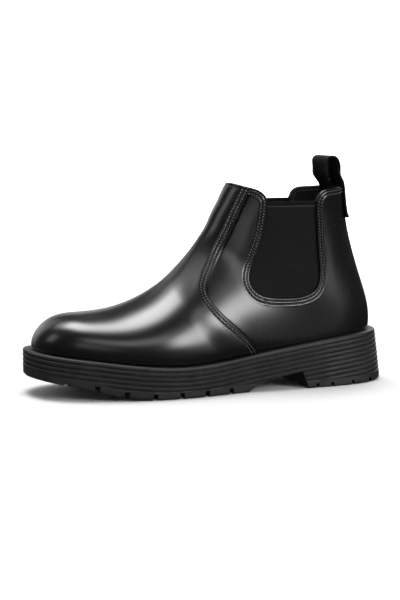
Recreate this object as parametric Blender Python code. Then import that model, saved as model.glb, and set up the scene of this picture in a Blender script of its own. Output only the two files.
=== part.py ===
"""Left chelsea boot, about EU size 42, standing on its sole.

Metres, +Z up.  The toe points to -X, the outer (lateral) side faces -Y and the origin
lies on the floor under the middle of the boot's box.  Outlines are drafted in
millimetres: X along the boot, Z up, Y = 0 on the centre plane of the heel and shaft.
"""
import math

import bpy
import numpy as np

MM = 0.001

# ---------------------------------------------------------------- driving dimensions (mm)
ORIGIN = (-1.4, -2.8, 0.0)      # middle of the boot's box in drafting coordinates
GAP = 0.3                       # clearance between pieces that touch
LEATHER = 1.4                   # upper leather
MIDDLE = 0.9                    # gores, toe puff and heel counter
LINING = 0.7                    # lining leather
LAP = 7.0                       # how far a panel runs on under the one sewn over it
STRIP_HALF_WIDTH, STRIP = 9.0, 1.0      # back strip and its thickness
TAB_HALF_WIDTH = 15.0           # webbing of the pull tab
WEBBING = 1.5                   # thickness of that webbing
GORE_TOP = 149.0                # height of the elastic's top edge
TAB_TAIL = 133.0                # height of the pull tab's sewn lower ends
TAB_FOLD = 163.3                # height at which the free loop starts
FLEX_GAP = 1.0                  # between the back strip's halves, which turn on each other
FEATHER_LIFT = 0.6              # upper's lower edge above the sole
LEDGE_TOE, LEDGE_HEEL = 6.5, 5.8   # how far the sole stands out round the upper
HEEL_FLARE = 5.0                # the heel is this much longer and wider at the floor
BREAST_X = 73.0                 # front face of the heel block
HEEL_FLARE_X = (50.0, 140.0)    # over which that flare grows
NOTCH_WIDTH, NOTCH_DEPTH, NOTCH_HEIGHT = 3.6, 9.0, 3.5
FOREFOOT_NOTCHES = [-118 + 21.5 * i for i in range(7)]
HEEL_NOTCHES = [84.0, 97.0, 110.0, 123.0]
SHAFT_PIVOT = (125.4, 0.0, 97.0)    # where the shaft's back bends, above the heel counter
TAB_PIVOT = (112.2, 0.0, 160.0)     # where the pull tab folds, at the collar

# Stations from the toe tip (0) to the collar (1).  At each one a straight line in side
# view joins the back or bottom profile (xb, zb) to the front or top profile (xt, zt).
# The section across it is a superellipse, widest at the fraction "widest" of that line.
#    s     xt     zt     xb     zb   lateral medial widest centre n_up n_low
STATIONS = np.array([
    [0.00, -144.8, 33.0, -144.8, 33.0, 0.0, 0.0, .50, 3.0, 2.3, 2.3],
    [0.06, -142.2, 47.0, -139.0, 22.0, 19.5, 19.5, .46, 3.0, 2.3, 2.5],
    [0.13, -128.5, 59.5, -125.0, 17.0, 34.0, 33.5, .42, 2.8, 2.4, 2.6],
    [0.22, -107.0, 63.2, -103.0, 15.0, 43.0, 40.5, .39, 2.0, 2.4, 2.7],
    [0.33, -80.0, 66.3, -74.0, 13.0, 50.5, 45.0, .37, 1.0, 2.2, 2.7],
    [0.44, -54.0, 76.0, -42.0, 12.0, 53.0, 46.0, .33, 0.0, 2.1, 2.7],
    [0.55, -32.0, 91.5, -4.0, 14.0, 49.0, 40.0, .29, 0.0, 2.0, 2.7],
    [0.65, -16.0, 108.0, 48.0, 18.0, 42.5, 34.5, .27, 0.0, 2.0, 2.7],
    [0.73, -6.5, 120.5, 118.0, 16.0, 38.0, 34.0, .34, 0.0, 2.0, 2.8],
    [0.79, -0.5, 129.0, 138.0, 44.0, 34.5, 33.5, .42, 0.0, 2.1, 2.8],
    [0.86, 5.0, 140.0, 133.3, 76.0, 31.5, 31.5, .45, 0.0, 2.2, 2.6],
    [0.92, 10.0, 148.5, 124.2, 104.0, 30.5, 30.0, .46, 0.0, 2.2, 2.4],
    [0.96, 13.5, 155.5, 118.0, 129.0, 30.0, 30.0, .46, 0.0, 2.2, 2.3],
    [1.00, 18.0, 163.5, 113.8, 160.0, 30.0, 30.0, .46, 0.0, 2.2, 2.3],
])
HEEL_STATION = (0.70, 0.85)     # the heel's back edge meets the sole between these
BACK_STATION = 0.66             # from here up the points spread to both edges of a line
TOP_STATION = 1.05              # the sheet ends above the collar

# Top of the sole and tread, as heights over X
SOLE_TOP = [(-150, 35.5), (-106, 30.3), (-76, 26.6), (-44, 24.2), (-9, 25.4), (28, 30.0),
            (64, 35.0), (100, 39.0), (130, 41.5), (150, 42.5)]
TREAD = [(-153, 16.0), (-145, 14.8), (-129.5, 12.0), (-113, 8.8), (-97, 4.6), (-81, 1.8),
         (-64, 0.0)]
HEEL_BEVEL_X, HEEL_BEVEL = 108.0, 2.2       # behind this the tread lifts, this much at the end

# Outlines in side view (x, z)
VAMP_SEAM = [(28.5, 163), (27.6, 161), (20.7, 147), (12, 129), (4.2, 113), (-2.6, 100),
             (-9, 90), (-11.6, 81), (-7.5, 70), (6, 55), (19.3, 41), (27.3, 31), (34.8, 20)]
COLLAR_EDGE = [(10, 164.6), (17.5, 163.3), (25, 161), (34.5, 157.8), (40, 151), (40, 146),
               (36.4, 125.7), (29.6, 107), (24.3, 95), (22.8, 85), (27.5, 77.2), (38, 73),
               (54, 71.8), (70.7, 73.2), (79.8, 78.2), (83.6, 88), (83, 110), (82, 133.7),
               (82.2, 149), (86, 156), (97.8, 158.5), (112, 160), (124, 161)]
FLEX_LINE = [(70, 85.5), (83, 88), (104, 92.5), (125, 98.5), (150, 99)]
COUNTER_EDGE = [(86, 0), (86, 66), (95, 84), (112, 90), (150, 92)]
ARCH = [(15, -2), (19, 2.1), (31, 7.5), (46, 11.1), (67, 14.5), (BREAST_X, 15), (BREAST_X, -2)]
TAB_LOOP = [(114.7, 164.4), (111.7, 169.0), (108.1, 176.5), (106.4, 181.0), (104.2, 183.5),
            (101.4, 183.8), (99.2, 181.6), (100.1, 177.0), (103.6, 168.8), (106.6, 164.4)]

# Hollows in the sole's top and what fills them
HOLLOW_INSET = 9.0              # from the upper's lower edge
HEEL_HOLLOW_X, HEEL_HOLLOW_FLOOR = (86.0, 126.0), 12.0
FOREFOOT_HOLLOW_X, FOREFOOT_HOLLOW_DEPTH = (-122.0, 4.0), 5.0
HEEL_FILLER_TOP, FOREFOOT_FILLER_TOP = -3.6, -0.3       # over the sole's top
CUTTER_TOP = 3.0                # how far a cutter stands out over the sole's top
SHANK_X, SHANK_HALF_WIDTH, SHANK_LEVELS = (10.0, 96.0), 8.0, (-2.6, -0.9)
CHANNEL_X, CHANNEL_HALF_WIDTH, CHANNEL_FLOOR = (8.0, 98.0), 9.0, -3.2
RIVETS_X = {"front": 22.0, "rear": 84.0}
RIVET_RADIUS, RIVET_HEAD_RADIUS, RIVET_HOLE_RADIUS = 2.0, 3.4, 2.4
RIVET_LEVELS = (-0.5, 3.2, 3.7)     # foot, underside and top of the head

# Layers inside the boot: inset from the upper's lower edge, and levels over the sole's top
BOARD_INSET, BOARD_LEVELS = 6.2, (0.4, 2.4)
FOOTBED_INSET, FOOTBED_LEVELS = 6.6, (4.5, 7.4)
PAD_INSET, PAD_LEVELS, PAD_FRONT_X = 11.0, (7.7, 8.9), 62.0

# Mesh density
OPEN_ROWS, SHAFT_ROWS = 21, 11  # stations from the toe to the heel seat, and above it
COLUMNS = 9                     # points from the feather line to the ridge
SOLE_ROWS = 26
PUFF_BACK_X = -96.0             # rear edge of the toe puff
LINING_JOINT_X = 88.0           # quarter lining meets heel lining

FAR = 400.0                     # well outside the boot


# ---------------------------------------------------------------- curves and the foot shape
def spline(knots, values):
    """Natural cubic spline through values (one or more columns) at knots."""
    x, y = np.asarray(knots, float), np.asarray(values, float)
    n, h = len(x), np.diff(np.asarray(knots, float))
    a, r = np.zeros((n, n)), np.zeros((n,) + y.shape[1:])
    a[0, 0] = a[-1, -1] = 1
    for i in range(1, n - 1):
        a[i, i - 1], a[i, i], a[i, i + 1] = h[i - 1], 2 * (h[i - 1] + h[i]), h[i]
        r[i] = 6 * ((y[i + 1] - y[i]) / h[i] - (y[i] - y[i - 1]) / h[i - 1])
    m = np.linalg.solve(a, r)

    def value(t):
        t = np.asarray(t, float)
        i = np.clip(np.searchsorted(x, t, side="right") - 1, 0, n - 2)
        d, step = t - x[i], h[i]
        if y.ndim > 1:
            d, step = d[..., None], step[..., None]
        slope = (y[i + 1] - y[i]) / step - step * (2 * m[i] + m[i + 1]) / 6
        return y[i] + d * slope + d * d * m[i] / 2 + d ** 3 * (m[i + 1] - m[i]) / (6 * step)
    return value


def smooth_curve(points, count=160):
    """A smooth curve through points, as count points."""
    points = np.array(points, float)
    length = np.concatenate([[0], np.cumsum(np.hypot(*np.diff(points, axis=0).T))])
    return spline(length, points)(np.linspace(0, length[-1], count))


def mirrored(columns, reverse, sign):
    """Spline over -1..1 whose negative half repeats other columns times sign."""
    knots = np.concatenate([-STATIONS[:0:-1, 0], STATIONS[:, 0]])
    values = np.concatenate([sign * STATIONS[:0:-1, reverse], STATIONS[:, columns]])
    return spline(knots, values)


PROFILE = mirrored([1, 2], [3, 4], 1)       # positive: top or front, negative: bottom or back
WIDTHS = mirrored([5, 6], [5, 6], -1)
SHAPE = mirrored([7, 8, 9, 10], [7, 8, 9, 10], 1)
sole_top = spline(*zip(*SOLE_TOP))
tread_curve = spline(*zip(*TREAD))


def tread(x):
    """Height of the tread over the floor: it lifts towards the toe and behind the heel."""
    toe_spring = np.where(np.asarray(x) < TREAD[-1][0], np.maximum(tread_curve(x), 0), 0.0)
    behind = np.maximum(np.asarray(x) - HEEL_BEVEL_X, 0) / (SOLE_TOP[-1][0] - HEEL_BEVEL_X)
    return toe_spring + HEEL_BEVEL * behind ** 2


def upper_point(s, h, side):
    """Point of the upper's outer face: station, fraction along its line, side -1 or 1."""
    top, low, shape = PROFILE(s), PROFILE(-s), SHAPE(s)
    width = WIDTHS(s)[..., 0 if side < 0 else 1]
    widest, centre, n_up, n_low = (shape[..., i] for i in range(4))
    above = h >= widest
    t = np.where(above, (h - widest) / (1 - widest), (widest - h) / widest)
    n = np.where(above, n_up, n_low)
    y = centre + side * width * np.clip(1 - np.clip(t, 0, 1) ** n, 0, None) ** (1 / n)
    xz = low + (top - low) * h[..., None]
    return np.stack([xz[..., 0], y, xz[..., 1]], -1)


def feather(x):
    """Height of the upper's lower edge."""
    return sole_top(x) + FEATHER_LIFT


def bisect(low, high, above):
    """Where above(value) turns true between low and high."""
    for _ in range(45):
        middle = (low + high) / 2
        test = above(middle)
        low, high = np.where(test, low, middle), np.where(test, middle, high)
    return high


def feather_fraction(s):
    """Fraction of each station's line at which it crosses the upper's lower edge."""
    top, low = PROFILE(s), PROFILE(-s)

    def above(h):
        xz = low + (top - low) * h[..., None]
        return xz[..., 1] > feather(xz[..., 0])
    fraction = bisect(np.zeros_like(s), np.ones_like(s), above)
    return np.where(low[..., 1] < feather(low[..., 0]), fraction, 0.0)


def height_over_feather(s):
    point = PROFILE(s)
    return point[..., 1] - feather(point[..., 0])


TOE_STATION = float(bisect(0.0, 0.2, lambda s: height_over_feather(s) > 0))
SEAT_STATION = float(bisect(*HEEL_STATION, lambda s: height_over_feather(-s) > 0))


# ---------------------------------------------------------------- sheets cut from that shape
class Sheet:
    """Part of a surface: points, unit normals and faces; both are cut together."""

    def __init__(self, points, normals, faces):
        self.points, self.normals, self.faces = points, normals, faces

    @staticmethod
    def compact(points, normals, faces):
        """Sheet of the points that the faces use."""
        used = sorted({i for face in faces for i in face})
        new = {old: i for i, old in enumerate(used)}
        return Sheet(np.array(points)[used], np.array(normals)[used],
                     [[new[i] for i in face] for face in faces])

    def cut(self, field, level=0.0, below=True, above=False):
        """Cut along field(points) == level and keep the sides asked for."""
        value = field(self.points) - level
        sign = np.where(np.abs(value) < 0.05, 0, np.sign(value)).astype(int)
        points, normals = list(self.points), list(self.normals)
        crossing, faces = {}, []

        def cross(a, b):
            key = (min(a, b), max(a, b))
            if key not in crossing:
                t = value[key[0]] / (value[key[0]] - value[key[1]])
                crossing[key] = len(points)
                points.append(points[key[0]] * (1 - t) + points[key[1]] * t)
                normals.append(normals[key[0]] * (1 - t) + normals[key[1]] * t)
            return crossing[key]

        for keep, side in ((below, -1), (above, 1)):
            for face in self.faces if keep else []:
                if not any(sign[i] == side for i in face):
                    continue
                loop = []
                for a, b in zip(face, face[1:] + face[:1]):
                    if sign[a] != -side:
                        loop.append(a)
                    if sign[a] * sign[b] < 0:
                        loop.append(cross(a, b))
                if len(loop) > 2:
                    faces.append(loop)
        return Sheet.compact(points, normals, faces)

    def thick(self, outer, inner):
        """Closed solid between two distances from the surface: its vertices and faces."""
        outer = np.broadcast_to(outer, len(self.points))[:, None]
        inner = np.broadcast_to(inner, len(self.points))[:, None]
        count = len(self.points)
        vertices = np.concatenate([self.points + self.normals * outer,
                                   self.points + self.normals * inner])
        vertices[:, 2] = np.maximum(vertices[:, 2], sole_top(vertices[:, 0]) + GAP + 0.1)
        faces = list(self.faces) + [[i + count for i in reversed(f)] for f in self.faces]
        directed = {(a, b) for f in self.faces for a, b in zip(f, f[1:] + f[:1])}
        faces += [[b, a, a + count, b + count] for a, b in directed if (b, a) not in directed]
        return vertices, faces


def upper_sheet():
    """The whole upper, from the feather line up past the collar, closed at the heel."""
    seat = OPEN_ROWS - 1
    k = (1 - np.cos(np.linspace(0, math.pi, OPEN_ROWS))) / 2
    below_seat = TOE_STATION + (SEAT_STATION - TOE_STATION) * k
    above_seat = np.linspace(SEAT_STATION, TOP_STATION, SHAFT_ROWS)[1:]
    s, u = np.meshgrid(np.concatenate([below_seat, above_seat]), np.linspace(0, 1, COLUMNS),
                       indexing="ij")
    start = feather_fraction(s)
    open_fraction = start + (1 - start) * np.sin(u * math.pi / 2)
    closed_fraction = start + (1 - start) * (1 - np.cos(u * math.pi)) / 2
    mix = np.clip((s - BACK_STATION) / (SEAT_STATION - BACK_STATION), 0, 1)
    h = open_fraction * (1 - mix) + closed_fraction * mix
    lateral, medial = upper_point(s, h, -1), upper_point(s, h, 1)
    grid = np.concatenate([lateral, medial[:, -2::-1]], axis=1)
    across = np.empty_like(grid)
    across[:, 1:-1] = grid[:, 2:] - grid[:, :-2]
    across[:, 0], across[:, -1] = grid[:, 1] - grid[:, 0], grid[:, -1] - grid[:, -2]
    across[seat:, 0] = across[seat:, -1] = grid[seat:, 1] - grid[seat:, -2]
    along = np.gradient(grid, axis=0)
    along[0], across[0] = along[1], across[1]
    along[seat] = grid[seat + 1] - grid[seat]
    normals = np.cross(along, across)
    normals /= np.linalg.norm(normals, axis=2)[..., None]
    columns = grid.shape[1]
    index = np.arange(grid.shape[0] * columns).reshape(grid.shape[:2])
    index[0, :] = index[0, 0]
    index[seat:, -1] = index[seat:, 0]
    normals[0, 0] = (-1, 0, 0)
    a, b, c, d = (k.ravel() for k in (index[:-1, :-1], index[:-1, 1:], index[1:, 1:], index[1:, :-1]))
    triangles = np.concatenate([np.stack([a, b, c], 1), np.stack([a, c, d], 1)]).tolist()
    faces = [face for face in triangles if len(set(face)) == 3]
    return Sheet.compact(grid.reshape(-1, 3), normals.reshape(-1, 3), faces)


def region(outline):
    """Signed distance in side view to a closed outline, negative inside."""
    a = np.array(outline, float)
    b = np.roll(a, -1, axis=0)

    def field(points):
        p = points[:, [0, 2]][:, None]
        edge = b - a
        t = np.clip(((p - a) * edge).sum(2) / (edge ** 2).sum(1), 0, 1)
        distance = np.linalg.norm(p - a - t[..., None] * edge, axis=2).min(1)
        crosses = (a[:, 1] > p[..., 1]) != (b[:, 1] > p[..., 1])
        with np.errstate(divide="ignore", invalid="ignore"):
            at = a[:, 0] + (p[..., 1] - a[:, 1]) * edge[:, 0] / edge[:, 1]
        inside = (crosses & (p[..., 0] < at)).sum(1) % 2 == 1
        return np.where(inside, -distance, distance)
    return field


def opposite(field):
    return lambda points: -field(points)


toe_side = region(list(smooth_curve(VAMP_SEAM)) + [(33, -FAR), (-FAR, -FAR), (-FAR, FAR), (28, FAR)])
opening = region(list(smooth_curve(COLLAR_EDGE)) + [(124, FAR), (10, FAR)])
rear_shaft = region(list(smooth_curve(FLEX_LINE)) + [(FAR, 99), (FAR, FAR), (70, FAR)])
counter_area = region(list(smooth_curve(COUNTER_EDGE, 60)) + [(FAR, 92), (FAR, 0)])


def height(points):
    return points[:, 2]


def toe_distance(points):
    return points[:, 0]


def lateral_side(points):
    return points[:, 1]


def off_centre(points):
    """Distance from the centre plane on the boot's back, large elsewhere."""
    return np.where(points[:, 0] > 75, np.abs(points[:, 1]), FAR)


# ---------------------------------------------------------------- objects and materials
def material(name, colour, roughness, metallic=0.0):
    mat = bpy.data.materials.new(name)
    mat.use_nodes = True
    shader = mat.node_tree.nodes["Principled BSDF"]
    shader.inputs["Base Color"].default_value = (*colour, 1)
    shader.inputs["Roughness"].default_value = roughness
    shader.inputs["Metallic"].default_value = metallic
    mat.diffuse_color = (*colour, 1)
    return mat


def volume(vertices, faces):
    """Volume of a closed solid, negative if its faces point inwards."""
    return sum(np.dot(vertices[f[0]], np.cross(vertices[b], vertices[c])) / 6
               for f in faces for b, c in zip(f[1:-1], f[2:]))


def add_object(name, solid, mat, parent=None):
    """Object from (vertices in mm, faces); a moving piece has its origin on its joint."""
    vertices, faces = solid
    vertices = np.asarray(vertices) - ORIGIN
    if volume(vertices, faces) < 0:
        faces = [f[::-1] for f in faces]
    mesh = bpy.data.meshes.new(name)
    mesh.from_pydata((vertices * MM - stands_at(parent)).tolist(), [], [list(f) for f in faces])
    mesh.validate()
    mesh.materials.append(mat)
    obj = bpy.data.objects.new(name, mesh)
    bpy.context.scene.collection.objects.link(obj)
    obj.parent = parent
    return obj


def stands_at(axis):
    """World place of an axis empty, added up along its parents."""
    if axis is None:
        return np.zeros(3)
    return np.array(axis.location) + stands_at(axis.parent)


def add_axis(name, point, parent=None):
    """Empty on a joint's axis; its children turn with it."""
    empty = bpy.data.objects.new(name, None)
    empty.empty_display_size = 0.02
    bpy.context.scene.collection.objects.link(empty)
    empty.parent = parent
    empty.location = tuple((np.array(point) - ORIGIN) * MM - stands_at(parent))
    return empty


def cut_away(obj, solid):
    """Subtract a closed solid from an object and keep the result as its mesh."""
    cutter = add_object(obj.name + "_cutter", solid, obj.data.materials[0])
    cutter.hide_render = True
    cutter.display_type = "WIRE"
    modifier = obj.modifiers.new("cut", "BOOLEAN")
    modifier.operation = "DIFFERENCE"
    modifier.solver = "EXACT"
    modifier.object = cutter
    bpy.context.view_layer.update()
    depsgraph = bpy.context.evaluated_depsgraph_get()
    mesh = bpy.data.meshes.new_from_object(obj.evaluated_get(depsgraph))
    obj.modifiers.clear()
    obj.data = mesh
    bpy.data.objects.remove(cutter)


def prism(outline, depth_low, depth_high):
    """Side-view outline (x, z) carried from y = depth_low to y = depth_high."""
    n = len(outline)
    area = sum(a[0] * b[1] - b[0] * a[1] for a, b in zip(outline, outline[1:] + outline[:1]))
    outline = outline if area > 0 else outline[::-1]
    vertices = [(x, y, z) for y in (depth_low, depth_high) for x, z in outline]
    faces = [list(range(n)), list(range(2 * n - 1, n - 1, -1))]
    faces += [[(i + 1) % n, i, i + n, (i + 1) % n + n] for i in range(n)]
    return vertices, faces


def box(x0, x1, y0, y1, z0, z1):
    return prism([(x0, z0), (x1, z0), (x1, z1), (x0, z1)], y0, y1)


def together(solids):
    """Several separate solids as one mesh."""
    vertices, faces = [], []
    for part_vertices, part_faces in solids:
        faces += [[i + len(vertices) for i in f] for f in part_faces]
        vertices += [tuple(v) for v in part_vertices]
    return vertices, faces


def stud(x, y, levels, sides=12):
    """Turned solid on a vertical axis: levels are (radius, z) from the bottom up."""
    vertices = [(x + r * math.cos(2 * math.pi * k / sides), y + r * math.sin(2 * math.pi * k / sides), z)
                for r, z in levels for k in range(sides)]
    faces = [list(range(sides))[::-1], [len(vertices) - sides + k for k in range(sides)]]
    for i in range(len(levels) - 1):
        for k in range(sides):
            a, b = i * sides + k, i * sides + (k + 1) % sides
            faces.append([a, b, b + sides, a + sides])
    return vertices, faces


# ---------------------------------------------------------------- sole outlines
def feather_loop(count=140):
    """The upper's lower edge in plan, lateral side to medial side round the toe and heel."""
    k = (1 - np.cos(np.linspace(0, math.pi, count))) / 2
    s = TOE_STATION + (SEAT_STATION - TOE_STATION) * k
    h = feather_fraction(s)
    lateral, medial = upper_point(s, h, -1), upper_point(s, h, 1)
    return np.concatenate([lateral, medial[-2:0:-1]])[:, :2]


def rails(offset, x_from=-FAR, x_to=FAR, rows=SOLE_ROWS):
    """Rows (x, y lateral, y medial) of the feather outline moved outward by offset(x)."""
    loop = feather_loop()
    tangent = np.roll(loop, -1, axis=0) - np.roll(loop, 1, axis=0)
    tangent /= np.linalg.norm(tangent, axis=1)[:, None]
    outward = np.stack([tangent[:, 1], -tangent[:, 0]], 1)
    middle = np.array([(loop[:, 0].min() + loop[:, 0].max()) / 2, 0])
    if ((loop - middle) * outward).sum() < 0:
        outward = -outward
    loop = loop + outward * np.array([offset(x) for x in loop[:, 0]])[:, None]
    toe, heel = loop[:, 0].argmin(), loop[:, 0].argmax()
    lateral = np.roll(loop, -toe, axis=0)[:(heel - toe) % len(loop) + 1]
    medial = np.roll(loop, -heel, axis=0)[:(toe - heel) % len(loop) + 1][::-1]
    start, end = max(x_from, loop[toe, 0]), min(x_to, loop[heel, 0])
    k = (1 - np.cos(np.linspace(0, math.pi, rows))) / 2
    x = start + (end - start) * k
    sides = [np.interp(x, *side[np.argsort(side[:, 0])].T) for side in (lateral, medial)]
    if np.mean(sides[0]) > np.mean(sides[1]):
        sides.reverse()
    return np.stack([x, *sides], 1)


def plate(rows, low, high, low_rows=None):
    """Closed solid over an outline: rows (x, y0, y1), its heights given by low(x), high(x)."""
    low_rows = rows if low_rows is None else low_rows
    vertices = []
    for (x, y0, y1), (lx, ly0, ly1) in zip(rows, low_rows):
        top, bottom = float(high(x)), float(low(lx))
        narrow = y1 - y0 < 0.5
        middle, low_middle = (y0 + y1) / 2, (ly0 + ly1) / 2
        if narrow:
            y0, y1, ly0, ly1 = middle - 0.25, middle + 0.25, low_middle - 0.25, low_middle + 0.25
        vertices += [(x, y0, top), (x, y1, top), (lx, ly1, bottom), (lx, ly0, bottom)]
    faces = [[0, 1, 2, 3], [len(vertices) - k for k in (1, 2, 3, 4)]]
    for i in range(len(rows) - 1):
        a, b = 4 * i, 4 * i + 4
        faces += [[a + k, b + k, b + (k + 1) % 4, a + (k + 1) % 4] for k in range(4)]
    return vertices, faces


def webbing(path, half_width, thickness):
    """Strip of webbing that follows a path in side view, carried across the width."""
    path = np.asarray(path)
    tangent = np.gradient(path, axis=0)
    tangent /= np.linalg.norm(tangent, axis=1)[:, None]
    normal = np.stack([-tangent[:, 1], tangent[:, 0]], 1) * thickness / 2
    outline = [tuple(p) for p in np.concatenate([path + normal, (path - normal)[::-1]])]
    n = len(path)
    vertices = [(x, y, z) for y in (-half_width, half_width) for x, z in outline]
    faces = []
    for i in range(n - 1):
        a, b, c, d = i, i + 1, 2 * n - 2 - i, 2 * n - 1 - i
        faces += [[a, b, c, d], [d + 2 * n, c + 2 * n, b + 2 * n, a + 2 * n]]
    faces += [[(i + 1) % (2 * n), i, i + 2 * n, (i + 1) % (2 * n) + 2 * n] for i in range(2 * n)]
    return vertices, faces


# ---------------------------------------------------------------- the pieces
def clear():
    for obj in list(bpy.data.objects):
        bpy.data.objects.remove(obj)


def add_sole(rubber, filler_mat):
    """One-piece rubber sole with heel, arch, edge notches and the hollows in its top."""
    def ledge(x):
        return LEDGE_TOE + (LEDGE_HEEL - LEDGE_TOE) * min(max((x + 100) / 200, 0), 1)

    def flare(x):
        start, end = HEEL_FLARE_X
        return ledge(x) + HEEL_FLARE * min(max((x - start) / (end - start), 0), 1)
    outsole = add_object("outsole", plate(rails(ledge), tread, sole_top, rails(flare)), rubber)
    cut_away(outsole, prism(ARCH, -80, 80))
    edge = rails(flare, rows=200)
    notches = []
    for x in FOREFOOT_NOTCHES + HEEL_NOTCHES:
        floor = float(tread(x))
        lateral = float(np.interp(x, edge[:, 0], edge[:, 1]))
        medial = float(np.interp(x, edge[:, 0], edge[:, 2]))
        for y0, y1 in ((lateral - 5, lateral + NOTCH_DEPTH), (medial - NOTCH_DEPTH, medial + 5)):
            x0, x1 = x - NOTCH_WIDTH / 2, x + NOTCH_WIDTH / 2
            notches.append(box(x0, x1, y0, y1, floor - 2, floor + NOTCH_HEIGHT))
    cut_away(outsole, together(notches))

    def over_top(level):
        return lambda x: sole_top(x) + level

    def hollow(x_range, rows, clearance):
        x0, x1 = x_range
        return rails(lambda x: -HOLLOW_INSET - clearance, x0 + clearance, x1 - clearance, rows)
    heel_floor, forefoot_floor = HEEL_HOLLOW_FLOOR, -FOREFOOT_HOLLOW_DEPTH
    cut_away(outsole, plate(hollow(HEEL_HOLLOW_X, 9, 0), lambda x: heel_floor, over_top(CUTTER_TOP)))
    cut_away(outsole, plate(hollow(FOREFOOT_HOLLOW_X, 14, 0), over_top(forefoot_floor),
                            over_top(CUTTER_TOP)))
    cut_away(outsole, waist_strip(CHANNEL_X, CHANNEL_HALF_WIDTH, (CHANNEL_FLOOR, CUTTER_TOP)))
    add_object("heel_filler", plate(hollow(HEEL_HOLLOW_X, 9, GAP), lambda x: heel_floor + GAP,
                                    over_top(HEEL_FILLER_TOP)), filler_mat)
    add_object("forefoot_filler", plate(hollow(FOREFOOT_HOLLOW_X, 14, GAP),
                                        over_top(forefoot_floor + GAP),
                                        over_top(FOREFOOT_FILLER_TOP)), filler_mat)


def layer(inset, levels, x_from=-FAR, rows=SOLE_ROWS):
    """Flat layer inside the boot, between two levels over the sole's top."""
    low, high = levels
    outline = rails(lambda x: -inset, x_from, FAR, rows)
    return plate(outline, lambda x: sole_top(x) + low, lambda x: sole_top(x) + high)


def waist_strip(x_range, half_width, levels):
    """Strip under the waist that follows the top of the sole."""
    low, high = levels
    rows = [(x, -half_width, half_width) for x in np.linspace(*x_range, 9)]
    return plate(rows, lambda x: sole_top(x) + low, lambda x: sole_top(x) + high)


def add_insole(board_mat, foam_mat, steel):
    """Steel shank and its rivets, insole board, footbed and heel pad."""
    add_object("shank", waist_strip(SHANK_X, SHANK_HALF_WIDTH, SHANK_LEVELS), steel)
    board = add_object("insole_board", layer(BOARD_INSET, BOARD_LEVELS), board_mat)
    holes = []
    for name, x in RIVETS_X.items():
        foot, underside, top = (float(sole_top(x)) + level for level in RIVET_LEVELS)
        rivet = stud(x, 0, [(RIVET_RADIUS, foot), (RIVET_RADIUS, underside),
                            (RIVET_HEAD_RADIUS, underside), (RIVET_HEAD_RADIUS, top)])
        add_object("shank_rivet_" + name, rivet, steel)
        holes.append(stud(x, 0, [(RIVET_HOLE_RADIUS, foot - 1), (RIVET_HOLE_RADIUS, top + 1)]))
    cut_away(board, together(holes))
    add_object("footbed", layer(FOOTBED_INSET, FOOTBED_LEVELS), foam_mat)
    add_object("heel_pad", layer(PAD_INSET, PAD_LEVELS, PAD_FRONT_X, rows=16), foam_mat)


def add_upper(base, leather, lining_mat, elastic, stiffener, shaft_axis):
    """Vamp, quarters, back strip, gores, stiffeners and linings."""
    middle = LEATHER + GAP
    inner = middle + MIDDLE + GAP
    half = GAP / 2
    body = base.cut(opposite(opening), -half)

    vamp = body.cut(toe_side, -half)
    lift_from, lift_to = -LAP - 8, -LAP - 1
    for line in (lift_to, lift_from):
        vamp = vamp.cut(toe_side, line, below=True, above=True)
    rise = (toe_side(vamp.points) - lift_from) / (lift_to - lift_from)
    lift = (LEATHER + GAP) * np.clip(rise, 0, 1)
    add_object("vamp", vamp.thick(lift, lift - LEATHER), leather)

    quarters = body.cut(opposite(toe_side), LAP)
    sides = (("lateral", lateral_side), ("medial", opposite(lateral_side)))
    for side, field in sides:
        quarter = quarters.cut(field, -half)
        front, rear = quarter.cut(opposite(rear_shaft), -half), quarter.cut(rear_shaft, -half)
        add_object("quarter_" + side, front.thick(0, -LEATHER), leather)
        add_object("quarter_" + side + "_rear", rear.thick(0, -LEATHER), leather, shaft_axis)
        gore = base.cut(opening, LAP).cut(height, GORE_TOP).cut(field, -5.0)
        add_object("gore_" + side, gore.thick(-middle, -middle - MIDDLE), elastic)

    strip = base.cut(off_centre, STRIP_HALF_WIDTH).cut(opening, 2.0, below=False, above=True)
    lower, upper = (strip.cut(field, -FLEX_GAP / 2) for field in (opposite(rear_shaft), rear_shaft))
    add_object("back_strip", lower.thick(GAP + STRIP, GAP), leather)
    add_object("back_strip_upper", upper.thick(GAP + STRIP, GAP), leather, shaft_axis)

    puff = base.cut(toe_distance, PUFF_BACK_X)
    add_object("toe_puff", puff.thick(-middle, -middle - MIDDLE), stiffener)
    counter = base.cut(counter_area)
    add_object("heel_counter", counter.thick(-middle, -middle - MIDDLE), stiffener)

    sheet = body.cut(toe_side, -half)
    add_object("vamp_lining", sheet.thick(-inner, -inner - LINING), lining_mat)
    sheet = body.cut(opposite(toe_side), -half).cut(opposite(rear_shaft), -half)
    for side, field in sides:
        part = sheet.cut(toe_distance, LINING_JOINT_X - half).cut(field, -half)
        add_object("quarter_lining_" + side, part.thick(-inner, -inner - LINING), lining_mat)
    part = sheet.cut(toe_distance, LINING_JOINT_X + half, below=False, above=True)
    add_object("heel_lining", part.thick(-inner, -inner - LINING), lining_mat)
    part = body.cut(rear_shaft, -half)
    add_object("shaft_lining", part.thick(-inner, -inner - LINING), lining_mat, shaft_axis)
    return inner + LINING


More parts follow.
